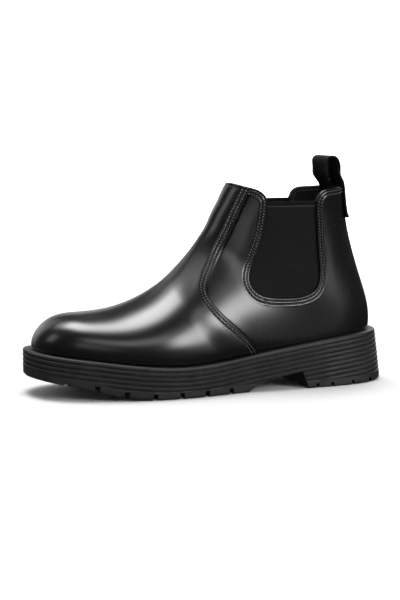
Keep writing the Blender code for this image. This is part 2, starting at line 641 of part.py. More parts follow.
def add_pull_tab(base, depth, webbing_mat, shaft_axis, tab_axis):
    """Webbing loop over the collar, with a sewn leg outside and one inside."""
    legs = base.cut(off_centre, TAB_HALF_WIDTH).cut(height, TAB_FOLD)
    legs = legs.cut(height, TAB_TAIL, below=False, above=True)
    outside = GAP + STRIP + GAP
    add_object("pull_tab_outer_leg", legs.thick(outside + WEBBING, outside), webbing_mat, shaft_axis)
    inside = depth + GAP
    add_object("pull_tab_inner_leg", legs.thick(-inside, -inside - WEBBING), webbing_mat, shaft_axis)
    loop = webbing(smooth_curve(TAB_LOOP, 34), TAB_HALF_WIDTH, WEBBING)
    add_object("pull_tab_loop", loop, webbing_mat, tab_axis)


def main():
    clear()
    leather = material("black_leather", (0.012, 0.012, 0.013), 0.22)
    lining_mat = material("lining_leather", (0.02, 0.02, 0.021), 0.6)
    elastic = material("elastic", (0.016, 0.016, 0.017), 0.85)
    stiffener = material("stiffener", (0.35, 0.30, 0.24), 0.8)
    rubber = material("rubber", (0.025, 0.025, 0.026), 0.6)
    filler_mat = material("filler", (0.30, 0.21, 0.12), 0.9)
    board_mat = material("insole_board", (0.38, 0.27, 0.17), 0.85)
    foam_mat = material("footbed", (0.03, 0.03, 0.032), 0.8)
    steel = material("steel", (0.55, 0.56, 0.57), 0.35, 1.0)
    webbing_mat = material("webbing", (0.008, 0.008, 0.008), 0.8)

    shaft_axis = add_axis("shaft_axis", SHAFT_PIVOT)
    tab_axis = add_axis("tab_axis", TAB_PIVOT, shaft_axis)
    base = upper_sheet()
    add_sole(rubber, filler_mat)
    add_insole(board_mat, foam_mat, steel)
    depth = add_upper(base, leather, lining_mat, elastic, stiffener, shaft_axis)
    add_pull_tab(base, depth, webbing_mat, shaft_axis, tab_axis)


main()
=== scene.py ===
"""Looks of the left chelsea boot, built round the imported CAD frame.

Shapes are drafted in millimetres like the CAD model: X along the boot (toe at -X), Z up
and Y = 0 on the centre plane of the heel and shaft.  ORIGIN is the frame's origin there.
"""
import math

import bmesh
import bpy
import numpy as np
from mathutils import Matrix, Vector


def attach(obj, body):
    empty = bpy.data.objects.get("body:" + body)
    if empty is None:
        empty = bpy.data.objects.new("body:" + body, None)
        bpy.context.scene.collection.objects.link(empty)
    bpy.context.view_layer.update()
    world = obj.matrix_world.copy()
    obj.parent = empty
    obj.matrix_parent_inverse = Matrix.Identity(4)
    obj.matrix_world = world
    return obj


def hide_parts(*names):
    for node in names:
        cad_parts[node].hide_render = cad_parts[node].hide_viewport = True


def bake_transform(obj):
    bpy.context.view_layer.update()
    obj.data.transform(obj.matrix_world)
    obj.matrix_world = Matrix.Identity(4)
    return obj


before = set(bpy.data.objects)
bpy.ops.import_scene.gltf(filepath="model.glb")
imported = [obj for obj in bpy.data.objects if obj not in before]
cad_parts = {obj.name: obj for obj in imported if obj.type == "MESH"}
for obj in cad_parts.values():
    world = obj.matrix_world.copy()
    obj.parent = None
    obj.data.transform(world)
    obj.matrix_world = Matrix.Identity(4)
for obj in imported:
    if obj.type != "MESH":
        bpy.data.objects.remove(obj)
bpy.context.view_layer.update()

MM = 0.001
ORIGIN = np.array([-1.4, -2.8, 0.0])
BOOT, SHAFT, TAB = "boot", "shaft_back", "pull_tab"     # the frame's bodies

# ---------------------------------------------------------------- sizes (mm)
LEATHER = 1.4
GORE_DEPTH, GORE_THICK = 1.7, 0.9
LINING_OUT, LINING_IN = 1.5, 3.9        # the lining's faces, below the leather's outer face
EDGE_LEAST = 0.15                       # thinnest leather, where its lower edge turns in
LAP = 7.0
LAP_STEP = 1.5                          # the vamp stands this proud over the quarter
LAP_RUN = 17.0                          # and comes back to the last over this distance
STRIP_HALF_WIDTH = 9.0
TAB_HALF_WIDTH, WEBBING = 15.0, 1.5
CORD_INSET = 2.0                        # of the cords inside the webbing's edges
GORE_TOP = 149.0
HEM_EDGE, HEM_LINE = (3.6, 3.0), (4.6, 4.1)     # where the hem and its line fade in, below the top
FEATHER_LIFT = 0.2
LEDGE_TOE, LEDGE_HEEL, HEEL_FLARE = 6.5, 5.8, 5.0
BREAST_X = 71.0
BACK_X = 75.0                           # the boot's back lies behind this
FAR = 400.0                             # beyond everything

#    s     xt     zt     xb     zb   lateral medial widest centre n_up n_low
STATIONS = np.array([
    [0.00, -144.8, 33.0, -144.8, 33.0, 0.0, 0.0, .50, 3.0, 2.3, 2.3],
    [0.06, -142.2, 47.0, -139.0, 22.0, 19.5, 19.5, .46, 3.0, 2.3, 2.5],
    [0.13, -128.5, 59.5, -125.0, 17.0, 34.0, 33.5, .42, 2.8, 2.4, 2.6],
    [0.22, -107.0, 63.2, -103.0, 15.0, 43.0, 40.5, .39, 2.0, 2.4, 2.7],
    [0.33, -80.0, 66.3, -74.0, 13.0, 50.5, 45.0, .37, 1.0, 2.2, 2.7],
    [0.44, -54.0, 76.0, -42.0, 12.0, 53.0, 46.0, .33, 0.0, 2.1, 2.7],
    [0.55, -32.0, 91.5, -4.0, 14.0, 49.0, 40.0, .29, 0.0, 2.0, 2.7],
    [0.65, -16.0, 108.0, 48.0, 18.0, 42.5, 34.5, .27, 0.0, 2.0, 2.7],
    [0.73, -6.5, 120.5, 118.0, 16.0, 38.0, 34.0, .34, 0.0, 2.0, 2.8],
    [0.79, -0.5, 129.0, 138.0, 44.0, 34.5, 33.5, .42, 0.0, 2.1, 2.8],
    [0.86, 5.0, 140.0, 133.3, 76.0, 31.5, 31.5, .45, 0.0, 2.2, 2.6],
    [0.92, 10.0, 148.5, 124.2, 104.0, 30.5, 30.0, .46, 0.0, 2.2, 2.4],
    [0.96, 13.5, 155.5, 118.0, 129.0, 30.0, 30.0, .46, 0.0, 2.2, 2.3],
    [1.00, 18.0, 163.5, 113.8, 160.0, 30.0, 30.0, .46, 0.0, 2.2, 2.3],
])
SOLE_TOP = [(-150, 35.5), (-106, 30.3), (-76, 26.6), (-44, 24.2), (-9, 25.4), (28, 30.0),
            (64, 35.0), (100, 39.0), (130, 41.5), (150, 42.5)]
TREAD = [(-153, 16.0), (-145, 14.8), (-129.5, 12.0), (-113, 8.8), (-97, 4.6), (-81, 1.8),
         (-64, 0.0)]
HEEL_BEVEL_X, HEEL_BEVEL = 108.0, 2.2       # behind this the tread lifts, this much at the end
VAMP_SEAM = [(30.4, 163), (29.5, 161), (22.6, 147), (13.9, 129), (5.4, 113), (-3.4, 99.5),
             (-10.6, 89), (-14, 79.5), (-9.8, 68.5), (3.8, 54), (17.8, 41), (26.4, 31), (34.4, 20)]
COLLAR_EDGE = [(10, 164.6), (17.5, 163.3), (25, 161), (34.5, 157.8), (40, 151), (40, 146),
               (36.4, 125.7), (29.6, 107), (24.3, 95), (22.8, 85), (27.5, 77.2), (38, 73),
               (54, 71.8), (70.7, 73.2), (79.8, 78.2), (83.6, 88), (83, 110), (82, 133.7),
               (82.2, 149), (86, 156), (97.8, 158.5), (112, 160), (124, 161)]
ARCH = [(15, -2), (19, 2.1), (31, 7.5), (46, 11.1), (59, 13.4), (BREAST_X - 7, 14.2),
        (BREAST_X - 1, -2)]

# the sheet's mesh: rows over the open foot and round the closed shaft, columns up each side
OPEN_ROWS, SHAFT_ROWS, COLUMNS = 240, 84, 66
CLOSING_STATION, TOP_STATION = 0.60, 1.05   # where the columns begin to even out, where they end


# ---------------------------------------------------------------- the foot shape
def spline(knots, values):
    """Natural cubic spline through values (one or more columns) at knots."""
    x, y = np.asarray(knots, float), np.asarray(values, float)
    n, h = len(x), np.diff(np.asarray(knots, float))
    a, r = np.zeros((n, n)), np.zeros((n,) + y.shape[1:])
    a[0, 0] = a[-1, -1] = 1
    for i in range(1, n - 1):
        a[i, i - 1], a[i, i], a[i, i + 1] = h[i - 1], 2 * (h[i - 1] + h[i]), h[i]
        r[i] = 6 * ((y[i + 1] - y[i]) / h[i] - (y[i] - y[i - 1]) / h[i - 1])
    m = np.linalg.solve(a, r)

    def value(t):
        t = np.asarray(t, float)
        i = np.clip(np.searchsorted(x, t, side="right") - 1, 0, n - 2)
        d, step = t - x[i], h[i]
        if y.ndim > 1:
            d, step = d[..., None], step[..., None]
        slope = (y[i + 1] - y[i]) / step - step * (2 * m[i] + m[i + 1]) / 6
        return y[i] + d * slope + d * d * m[i] / 2 + d ** 3 * (m[i + 1] - m[i]) / (6 * step)
    return value


def unit(vectors):
    return vectors / np.linalg.norm(vectors, axis=-1, keepdims=True)


def run_lengths(points):
    """Length along a line of points, up to each of them."""
    return np.concatenate([[0], np.cumsum(np.linalg.norm(np.diff(points, axis=0), axis=1))])


def smooth_curve(points, count=200):
    """A smooth curve through points, as count points."""
    points = np.array(points, float)
    length = run_lengths(points)
    return spline(length, points)(np.linspace(0, length[-1], count))


def eased(count):
    """Values from 0 to 1 that lie closer together at both ends."""
    return (1 - np.cos(np.linspace(0, math.pi, count))) / 2


def smoothstep(t):
    t = np.clip(t, 0, 1)
    return t * t * (3 - 2 * t)


def bump(distance, at, width):
    """A smooth bump, 1 at distance == at and about 0 two widths away."""
    return np.exp(-((distance - at) / width) ** 2)


def round_over(t):
    """Drop of a rounded edge, from 0 at t == 0 to 1 at t == 1."""
    return 1 - np.sqrt(1 - t * t)


def mirrored(columns, reverse, sign):
    """Columns of STATIONS over station s, and at -s the reverse columns times sign."""
    knots = np.concatenate([-STATIONS[:0:-1, 0], STATIONS[:, 0]])
    values = np.concatenate([sign * STATIONS[:0:-1, reverse], STATIONS[:, columns]])
    return spline(knots, values)


PROFILE = mirrored([1, 2], [3, 4], 1)
WIDTHS = mirrored([5, 6], [5, 6], -1)
SHAPE = mirrored([7, 8, 9, 10], [7, 8, 9, 10], 1)
sole_top = spline(*zip(*SOLE_TOP))
tread_curve = spline(*zip(*TREAD))


def tread(x):
    """Height of the tread over the floor: it lifts towards the toe and behind the heel."""
    toe_spring = np.where(np.asarray(x) < TREAD[-1][0], np.maximum(tread_curve(x), 0), 0.0)
    behind = np.maximum(np.asarray(x) - HEEL_BEVEL_X, 0) / (SOLE_TOP[-1][0] - HEEL_BEVEL_X)
    return toe_spring + HEEL_BEVEL * behind ** 2


def side_point(s, h):
    """Side view (x, z) of a point on the upper: station, fraction up its line."""
    top, low = PROFILE(s), PROFILE(-s)
    return low + (top - low) * h[..., None]


def upper_point(s, h, side):
    """Point of the upper's outer face: station, fraction up its line, side -1 or 1."""
    width = WIDTHS(s)[..., 0 if side < 0 else 1]
    widest, centre, n_up, n_low = np.moveaxis(SHAPE(s), -1, 0)
    above = h >= widest
    t = np.where(above, (h - widest) / (1 - widest), (widest - h) / widest)
    n = np.where(above, n_up, n_low)
    y = centre + side * width * np.clip(1 - np.clip(t, 0, 1) ** n, 0, None) ** (1 / n)
    xz = side_point(s, h)
    return np.stack([xz[..., 0], y, xz[..., 1]], -1)


def bisect(low, high, above):
    """Where above(value) changes from false to true between low and high."""
    for _ in range(45):
        middle = (low + high) / 2
        test = above(middle)
        low, high = np.where(test, low, middle), np.where(test, middle, high)
    return high


def over_feather(xz):
    """Height over the upper's lower edge, the feather line."""
    return xz[..., 1] - (sole_top(xz[..., 0]) + FEATHER_LIFT)


def feather_fraction(s):
    """Fraction of each station's line at which it crosses the feather line."""
    fraction = bisect(np.zeros_like(s), np.ones_like(s), lambda h: over_feather(side_point(s, h)) > 0)
    return np.where(over_feather(PROFILE(-s)) < 0, fraction, 0.0)


TOE_STATION = float(bisect(0.0, 0.2, lambda s: over_feather(PROFILE(s)) > 0))
SEAT_STATION = float(bisect(0.70, 0.85, lambda s: over_feather(PROFILE(-s)) > 0))


# ---------------------------------------------------------------- sheets
class Sheet:
    """A surface as points, unit normals and faces, which are cut together."""

    def __init__(self, points, normals, faces):
        self.points, self.normals, self.faces = points, normals, faces

    def snapped(self, value):
        """Move points that lie close to value == 0 onto it, along their edges."""
        edges = {(min(a, b), max(a, b)) for f in self.faces for a, b in zip(f, f[1:] + f[:1])}
        edges = np.array(list(edges))
        a, b = edges[:, 0], edges[:, 1]
        crossing = value[a] * value[b] < 0
        a, b = a[crossing], b[crossing]
        t = value[a] / (value[a] - value[b])
        points, normals = self.points.copy(), self.normals.copy()
        best = np.full(len(value), 0.3)
        for near, far, u in ((a, b, t), (b, a, 1 - t)):
            for i, j, k in zip(near[u < 0.3], far[u < 0.3], u[u < 0.3]):
                if k < best[i]:
                    best[i] = k
                    points[i] = self.points[i] * (1 - k) + self.points[j] * k
                    normals[i] = self.normals[i] * (1 - k) + self.normals[j] * k
                    value[i] = 0
        return points, normals

    def cut(self, field, level=0.0, above=False):
        """Keep the side where field(points) is below (or above) level."""
        return self.divided(field, level, (1,) if above else (-1,))

    def scored(self, field, levels):
        """Put edges along the lines field(points) == level, so that relief can follow them."""
        sheet = self
        for level in levels:
            sheet = sheet.divided(field, level, (-1, 1))
        return sheet

    def crossing(self, value, key):
        """Point and normal where value passes 0 between two points."""
        a, b = key
        t = value[a] / (value[a] - value[b])
        return [q[a] * (1 - t) + q[b] * t for q in (self.points, self.normals)]

    def divided(self, field, level, sides):
        """Faces cut along field(points) == level, keeping the given sides of it."""
        value = field(self.points) - level
        base = Sheet(*self.snapped(value), self.faces) if len(sides) == 1 else self
        sign = np.where(np.abs(value) < 1e-6, 0, np.sign(value)).astype(int).tolist()
        points, normals = list(base.points), list(base.normals)
        made, faces = {}, []
        for face in self.faces:
            signs = {sign[i] for i in face}
            if not {-1, 1} <= signs and (len(sides) == 2 or sides[0] in signs):
                faces.append(face)
                continue
            for side in (s for s in sides if s in signs):
                loop = []
                for a, b in zip(face, face[1:] + face[:1]):
                    if sign[a] != -side:
                        loop.append(a)
                    if sign[a] * sign[b] < 0:
                        key = (min(a, b), max(a, b))
                        if key not in made:
                            made[key] = len(points)
                            point, normal = base.crossing(value, key)
                            points.append(point)
                            normals.append(normal)
                        loop.append(made[key])
                if len(loop) > 2:
                    faces.append(loop)
        return self.kept(np.array(points), np.array(normals), faces)

    @staticmethod
    def kept(points, normals, faces):
        """A sheet of these faces, with only the points they use."""
        used = sorted({i for face in faces for i in face})
        new = {old: i for i, old in enumerate(used)}
        return Sheet(points[used], normals[used], [[new[i] for i in f] for f in faces])

    def thick(self, outer, inner):
        """Closed solid between two distances from the surface: its vertices and faces."""
        outer = np.broadcast_to(outer, len(self.points))[:, None]
        inner = np.broadcast_to(inner, len(self.points))[:, None]
        count = len(self.points)
        vertices = np.concatenate([self.points + self.normals * outer,
                                   self.points + self.normals * inner])
        vertices[:, 2] = np.maximum(vertices[:, 2], sole_top(vertices[:, 0]) + 0.05)
        faces = list(self.faces) + [[i + count for i in reversed(f)] for f in self.faces]
        directed = {(a, b) for f in self.faces for a, b in zip(f, f[1:] + f[:1])}
        rim = sorted((a, b) for a, b in directed if (b, a) not in directed)
        faces += [[b, a, a + count, b + count] for a, b in rim]
        return vertices, faces

    def contour(self, field, level):
        """Lines on the surface where field(points) == level: lists of (point, normal)."""
        value = field(self.points) - level
        nodes, links = {}, {}
        for face in self.faces:
            ends = []
            for a, b in zip(face, face[1:] + face[:1]):
                if (value[a] < 0) != (value[b] < 0):
                    key = (min(a, b), max(a, b))
                    if key not in nodes:
                        nodes[key] = self.crossing(value, key)
                    ends.append(key)
            for p, q in zip(ends[::2], ends[1::2]):
                links.setdefault(p, []).append(q)
                links.setdefault(q, []).append(p)
        lines, seen = [], set()
        for start in sorted(links, key=lambda k: (len(links[k]), k)):
            if start in seen:
                continue
            line, here = [], start
            while here is not None:
                seen.add(here)
                line.append(nodes[here])
                here = next((k for k in links[here] if k not in seen), None)
            lines.append(np.array(line))
        return lines


def upper_sheet(open_rows, shaft_rows, columns):
    """The whole upper, from the sole up past the collar, closed at the heel."""
    seat = open_rows - 1
    below_seat = TOE_STATION + (SEAT_STATION - TOE_STATION) * eased(open_rows)
    rows = np.concatenate([below_seat, np.linspace(SEAT_STATION, TOP_STATION, shaft_rows)[1:]])
    s, u = np.meshgrid(rows, np.linspace(0, 1, columns), indexing="ij")
    start = feather_fraction(s)
    open_fraction = start + (1 - start) * np.sin(u * math.pi / 2)
    closed_fraction = start + (1 - start) * (1 - np.cos(u * math.pi)) / 2
    mix = smoothstep((s - CLOSING_STATION) / (SEAT_STATION - CLOSING_STATION))
    h = open_fraction * (1 - mix) + closed_fraction * mix
    lateral, medial = upper_point(s, h, -1), upper_point(s, h, 1)
    grid = np.concatenate([lateral, medial[:, -2::-1]], axis=1)
    across = np.empty_like(grid)
    across[:, 1:-1] = grid[:, 2:] - grid[:, :-2]
    across[:, 0], across[:, -1] = grid[:, 1] - grid[:, 0], grid[:, -1] - grid[:, -2]
    across[seat:, 0] = across[seat:, -1] = grid[seat:, 1] - grid[seat:, -2]
    along = np.gradient(grid, axis=0)
    along[0], across[0] = along[1], across[1]
    along[seat] = grid[seat + 1] - grid[seat]
    normals = unit(np.cross(across, along))
    if normals[open_rows // 2, columns // 2, 1] > 0:
        normals = -normals
    count = grid.shape[1]
    index = np.arange(grid.shape[0] * count).reshape(grid.shape[:2])
    index[0, :] = index[0, 0]
    index[seat:, -1] = index[seat:, 0]
    normals[0, 0] = (-1, 0, 0)
    a, b, c, d = index[:-1, :-1], index[1:, :-1], index[1:, 1:], index[:-1, 1:]
    quads = np.stack([a, d, c, b], -1).reshape(-1, 4)
    faces = [list(dict.fromkeys(q)) for q in quads.tolist()]
    faces = [f for f in faces if len(f) > 2]
    sheet = Sheet.kept(grid.reshape(-1, 3), normals.reshape(-1, 3), faces)
    p, q, r = (sheet.points[[f[i] for f in sheet.faces]] for i in range(3))
    facing = (np.cross(q - p, r - p) * sheet.normals[[f[0] for f in sheet.faces]]).sum(1)
    if np.median(facing) < 0:
        sheet.faces = [f[::-1] for f in sheet.faces]
    return sheet


def region(outline):
    """Signed distance in side view to a closed outline, negative inside."""
    a = np.array(outline, float)
    b = np.roll(a, -1, axis=0)
    edge = b - a
    square = (edge ** 2).sum(1)

    def field(points):
        result = []
        for p in np.array_split(points[:, [0, 2]], max(1, len(points) // 4000)):
            p = p[:, None]
            t = np.clip(((p - a) * edge).sum(2) / square, 0, 1)
            distance = np.linalg.norm(p - a - t[..., None] * edge, axis=2).min(1)
            crosses = (a[:, 1] > p[..., 1]) != (b[:, 1] > p[..., 1])
            with np.errstate(divide="ignore", invalid="ignore"):
                at = a[:, 0] + (p[..., 1] - a[:, 1]) * edge[:, 0] / edge[:, 1]
            inside = (crosses & (p[..., 0] < at)).sum(1) % 2 == 1
            result.append(np.where(inside, -distance, distance))
        return np.concatenate(result)
    return field


toe_side = region([*smooth_curve(VAMP_SEAM), (33, -FAR), (-FAR, -FAR), (-FAR, FAR), (28, FAR)])
opening = region([*smooth_curve(COLLAR_EDGE), (124, FAR), (10, FAR)])


def to_medial(points):
    """Distance across the boot, negative on the lateral side."""
    return points[:, 1]


def off_centre(points):
    """Distance from the centre plane on the boot's back, large elsewhere."""
    return np.where(points[:, 0] > BACK_X, np.abs(points[:, 1]), FAR)


# ---------------------------------------------------------------- objects
def add_object(name, data):
    obj = bpy.data.objects.new(name, data)
    bpy.context.scene.collection.objects.link(obj)
    return obj


def add_mesh(name, vertices, faces, mat, sharp=40):
    """Mesh object from drafting millimetres, smooth but for edges sharper than the angle."""
    mesh = bpy.data.meshes.new(name)
    vertices = (np.asarray(vertices, float) - ORIGIN) * MM
    mesh.from_pydata(vertices.tolist(), [], faces)
    mesh.validate()
    mesh.materials.append(mat)
    mesh.shade_smooth()
    mesh.set_sharp_from_angle(angle=math.radians(sharp))
    return add_object(name, mesh)


def mend(obj, merge=0.0):
    """Turn a closed mesh's faces outwards, first joining points closer than merge metres."""
    bm = bmesh.new()
    bm.from_mesh(obj.data)
    if merge:
        bmesh.ops.remove_doubles(bm, verts=bm.verts, dist=merge)
        bmesh.ops.dissolve_degenerate(bm, edges=bm.edges, dist=merge)
    bmesh.ops.recalc_face_normals(bm, faces=bm.faces)
    bm.to_mesh(obj.data)
    bm.free()


def grid_solid_faces(rows, columns):
    """Faces of a closed solid between two grids of points, one after the other."""
    index = np.arange(rows * columns).reshape(rows, columns)
    front = np.stack([index[:-1, :-1], index[:-1, 1:], index[1:, 1:], index[1:, :-1]], -1)
    front = front.reshape(-1, 4).tolist()
    rim = np.concatenate([index[0, :-1], index[:-1, -1], index[-1, :0:-1], index[:0:-1, 0]]).tolist()
    back = [[i + rows * columns for i in reversed(f)] for f in front]
    wall = [[b, a, a + rows * columns, b + rows * columns] for a, b in zip(rim, rim[1:] + rim[:1])]
    return front + back + wall


def place(point):
    """Drafting millimetres to the frame's metres."""
    return tuple((np.array(point, float) - ORIGIN) * MM)


def stretch(obj, slot, *nodes):
    """Leather, elastic or thread: its placement baked into the mesh, the CAD nodes it replaces hidden.
    """
    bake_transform(obj)
    return finish_piece(obj, slot, *nodes)


def finish_piece(obj, slot, *nodes):
    if nodes:
        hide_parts(*nodes)
    return obj


# ---------------------------------------------------------------- materials
class Nodes:
    """Small helper that adds nodes to a tree; inputs are sockets to link or plain values."""

    def __init__(self, tree):
        self.tree = tree

    def put(self, socket, value):
        if isinstance(value, bpy.types.NodeSocket):
            self.tree.links.new(value, socket)
        else:
            socket.default_value = value

    def node(self, kind, inputs=None, **settings):
        node = self.tree.nodes.new(kind)
        for key, value in settings.items():
            setattr(node, key, value)
        for key, value in (inputs or {}).items():
            self.put(node.inputs[key], value)
        return node

    def ramp(self, value, low, high, to_low=0.0, to_high=1.0):
        inputs = {"Value": value, "From Min": low, "From Max": high, "To Min": to_low, "To Max": to_high}
        return self.node("ShaderNodeMapRange", inputs).outputs["Result"]

    def math(self, operation, *values):
        return self.node("ShaderNodeMath", dict(enumerate(values)), operation=operation).outputs["Value"]


class Graph(Nodes):
    """A material with a Principled shader and textures in the object's coordinates."""

    def __init__(self, name):
        self.mat = bpy.data.materials.new(name)
        self.mat.use_nodes = True
        super().__init__(self.mat.node_tree)
        self.shader = self.tree.nodes["Principled BSDF"]
        self.coords = self.node("ShaderNodeTexCoord").outputs["Object"]

    def noise(self, scale, detail=4.0):
        inputs = {"Vector": self.coords, "Scale": scale, "Detail": detail}
        return self.node("ShaderNodeTexNoise", inputs).outputs["Fac"]

    def wave(self, coords, scale, distortion, direction):
        inputs = {"Vector": coords, "Scale": scale, "Distortion": distortion, "Detail": 1.0}
        return self.node("ShaderNodeTexWave", inputs, bands_direction=direction).outputs["Fac"]

    def axis(self, name):
        return self.node("ShaderNodeSeparateXYZ", {"Vector": self.coords}).outputs[name]

    def mix(self, factor, a, b):
        """Mix of two colours, each a socket or three values."""
        node = self.node("ShaderNodeMix", data_type="RGBA")
        for name, kind, value in (("Factor", "VALUE", factor), ("A", "RGBA", a), ("B", "RGBA", b)):
            socket = next(i for i in node.inputs if (i.name, i.type) == (name, kind))
            self.put(socket, (*value, 1) if isinstance(value, tuple) else value)
        return next(o for o in node.outputs if o.type == "RGBA")

    def surface(self, colour, roughness, height=None, distance=0.0002, strength=1.0, **constants):
        """Colour and roughness by socket or value, a height for the bump, constants by name."""
        self.put(self.shader.inputs["Base Color"], colour)
        self.put(self.shader.inputs["Roughness"], roughness)
        for name, value in constants.items():
            self.put(self.shader.inputs[name.replace("_", " ")], value)
        if height is not None:
            inputs = {"Height": height, "Distance": distance, "Strength": strength}
            self.put(self.shader.inputs["Normal"], self.node("ShaderNodeBump", inputs).outputs["Normal"])
        return self.mat


def leather_material():
    """Smooth polished black calf: fine pores, faint clouding, slightly uneven gloss."""
    g = Graph("polished_leather")
    pores = g.node("ShaderNodeTexVoronoi", {"Vector": g.coords, "Scale": 1500.0}).outputs["Distance"]
    pits = g.math("MULTIPLY", g.ramp(pores, 0.0, 0.35), 0.6)
    height = g.math("ADD", pits, g.math("MULTIPLY", g.noise(2600.0), 0.8))
    colour = g.mix(g.noise(35.0, 1.0), (0.0036, 0.0036, 0.0038), (0.0050, 0.0050, 0.0052))
    roughness = g.ramp(g.noise(45.0, 1.0), 0.2, 0.8, 0.24, 0.28)
    return g.surface(colour, roughness, height, 0.00002, 0.16, Specular_IOR_Level=0.5,
                     Coat_Weight=0.25, Coat_Roughness=0.16)


def lining_material():
    """Soft matt inside leather."""
    g = Graph("lining_leather")
    grain = g.noise(1500.0, 6.0)
    colour = g.mix(g.noise(80.0), (0.008, 0.008, 0.0085), (0.014, 0.0138, 0.014))
    return g.surface(colour, g.ramp(grain, 0.3, 0.7, 0.55, 0.7), grain, 0.0001, 0.5,
                     Specular_IOR_Level=0.3)


def elastic_material():
    """Elastic knit: fine weft lines, a light line and a dark woven hem along the top."""
    g = Graph("elastic_knit")
    weft = g.wave(g.coords, 230.0, 0.6, "Z")
    fuzz = g.noise(2500.0, 3.0)
    knit = g.mix(g.math("MULTIPLY", weft, fuzz), (0.0045, 0.0045, 0.0047), (0.011, 0.011, 0.0113))
    over_floor = g.axis("Z")
    hem, over_line = (g.ramp(over_floor, (GORE_TOP - low) * MM, (GORE_TOP - high) * MM)
                      for low, high in (HEM_EDGE, HEM_LINE))
    line = g.math("MULTIPLY", over_line, g.math("SUBTRACT", 1.0, hem))
    colour = g.mix(hem, g.mix(line, knit, (0.030, 0.030, 0.030)), (0.003, 0.003, 0.003))
    height = g.math("ADD", weft, g.math("MULTIPLY", fuzz, 0.5))
    return g.surface(colour, 0.85, height, 0.00015, 0.6, Specular_IOR_Level=0.2)


def webbing_material():
    """Black twill webbing with a lighter cord inside each edge."""
    g = Graph("woven_webbing")
    squeezed = g.node("ShaderNodeMapping", {"Vector": g.coords, "Scale": (1.0, 1.0, 0.55)})
    twill = g.wave(squeezed.outputs["Vector"], 420.0, 1.2, "DIAGONAL")
    height = g.math("ADD", twill, g.math("MULTIPLY", g.noise(2600.0, 3.0), 0.4))
    from_middle = g.math("ABSOLUTE", g.math("ADD", g.axis("Y"), ORIGIN[1] * MM))
    from_cord = g.math("ABSOLUTE", g.math("SUBTRACT", from_middle, (TAB_HALF_WIDTH - CORD_INSET) * MM))
    cord = g.ramp(from_cord, 0.25 * MM, 0.55 * MM, 1.0, 0.0)
    weave = g.mix(twill, (0.0015, 0.0015, 0.0015), (0.0035, 0.0035, 0.0037))
    return g.surface(g.mix(cord, weave, (0.045, 0.045, 0.045)), 0.7, height, 0.0002, 0.6,
                     Specular_IOR_Level=0.2)


def rubber_material():
    """Moulded rubber: satin, with a fine mould texture and a little dust in the colour."""
    g = Graph("moulded_rubber")
    dust = g.ramp(g.noise(90.0), 0.35, 0.7)
    colour = g.mix(dust, (0.011, 0.011, 0.0115), (0.018, 0.0178, 0.018))
    roughness = g.ramp(g.noise(500.0, 3.0), 0.3, 0.7, 0.50, 0.62)
    return g.surface(colour, roughness, g.noise(1800.0, 5.0), 0.0001, 0.35, Specular_IOR_Level=0.45)


def thread_material():
    g = Graph("thread_painted_highlight")
    twist = g.noise(3500.0, 2.0)
    # The twist's two tones are the thread's own. Their light grey, far lighter than black thread, is
    # painted highlight that stands in for glints along the stitches.
    return g.surface(g.mix(twist, (0.06, 0.06, 0.06), (0.12, 0.12, 0.12)), 0.34, twist,
                     0.0001, 0.6, Specular_IOR_Level=0.5)


def plain_material(name, dark, light, roughness, scale, metallic=0.0):
    """Board, foam, cork or steel: two mixed tones with a matching fine relief."""
    g = Graph(name)
    noise = g.noise(scale, 5.0)
    gloss = g.ramp(noise, 0.2, 0.8, roughness - 0.06, roughness + 0.06)
    return g.surface(g.mix(noise, dark, light), gloss, noise, 0.0001, 0.5, Metallic=metallic)


# ---------------------------------------------------------------- stitching
def stitch_row(lines, pitch, length, radius, lift, rings=5, around=6):
    """Thread stitches along lines of (point, normal): vertices and faces of slanted lozenges."""
    turn = math.radians(STITCH_SLANT)
    t = ((np.arange(rings) + 0.5) / rings)[:, None, None]
    angle = (2 * math.pi * np.arange(around) / around)[:, None]
    swell, rise = np.sin(math.pi * t) ** 0.5, radius * (1.1 * np.sin(math.pi * t) - 0.6)
    solids = []
    for line in lines:
        points, normals = line[:, 0] + line[:, 1] * lift, line[:, 1]
        distance = run_lengths(points)

        def at(where, values):
            return np.array([np.interp(where, distance, column) for column in values.T])
        for centre in (np.arange(int(distance[-1] / pitch)) + 0.5) * pitch:
            start, end = at(centre - length / 2, points), at(centre + length / 2, points)
            normal, axis = unit(at(centre, normals)), end - start
            side = np.cross(normal, axis)
            axis, side = axis * math.cos(turn) + side * math.sin(turn), side - axis * math.tan(turn)
            side /= max(np.linalg.norm(side), 1e-9)
            middle = (start + end) / 2 + axis * (t - 0.5) + normal * rise
            solids.append(middle + radius * swell * (side * np.cos(angle) + normal * np.sin(angle)))
    index = np.arange(rings * around).reshape(rings, around)
    turned = np.roll(index, -1, axis=1)
    solid = np.stack([index[:-1], turned[:-1], turned[1:], index[1:]], -1).reshape(-1, 4).tolist()
    solid += [index[0, ::-1].tolist(), index[-1].tolist()]
    faces = [[k * rings * around + i for i in f] for k in range(len(solids)) for f in solid]
    return np.reshape(solids, (-1, 3)), faces


def joined(parts):
    """One mesh's vertices and faces from those of several."""
    vertices, faces = [], []
    for part_vertices, part_faces in parts:
        faces += [[i + len(vertices) for i in f] for f in part_faces]
        vertices += list(part_vertices)
    return vertices, faces


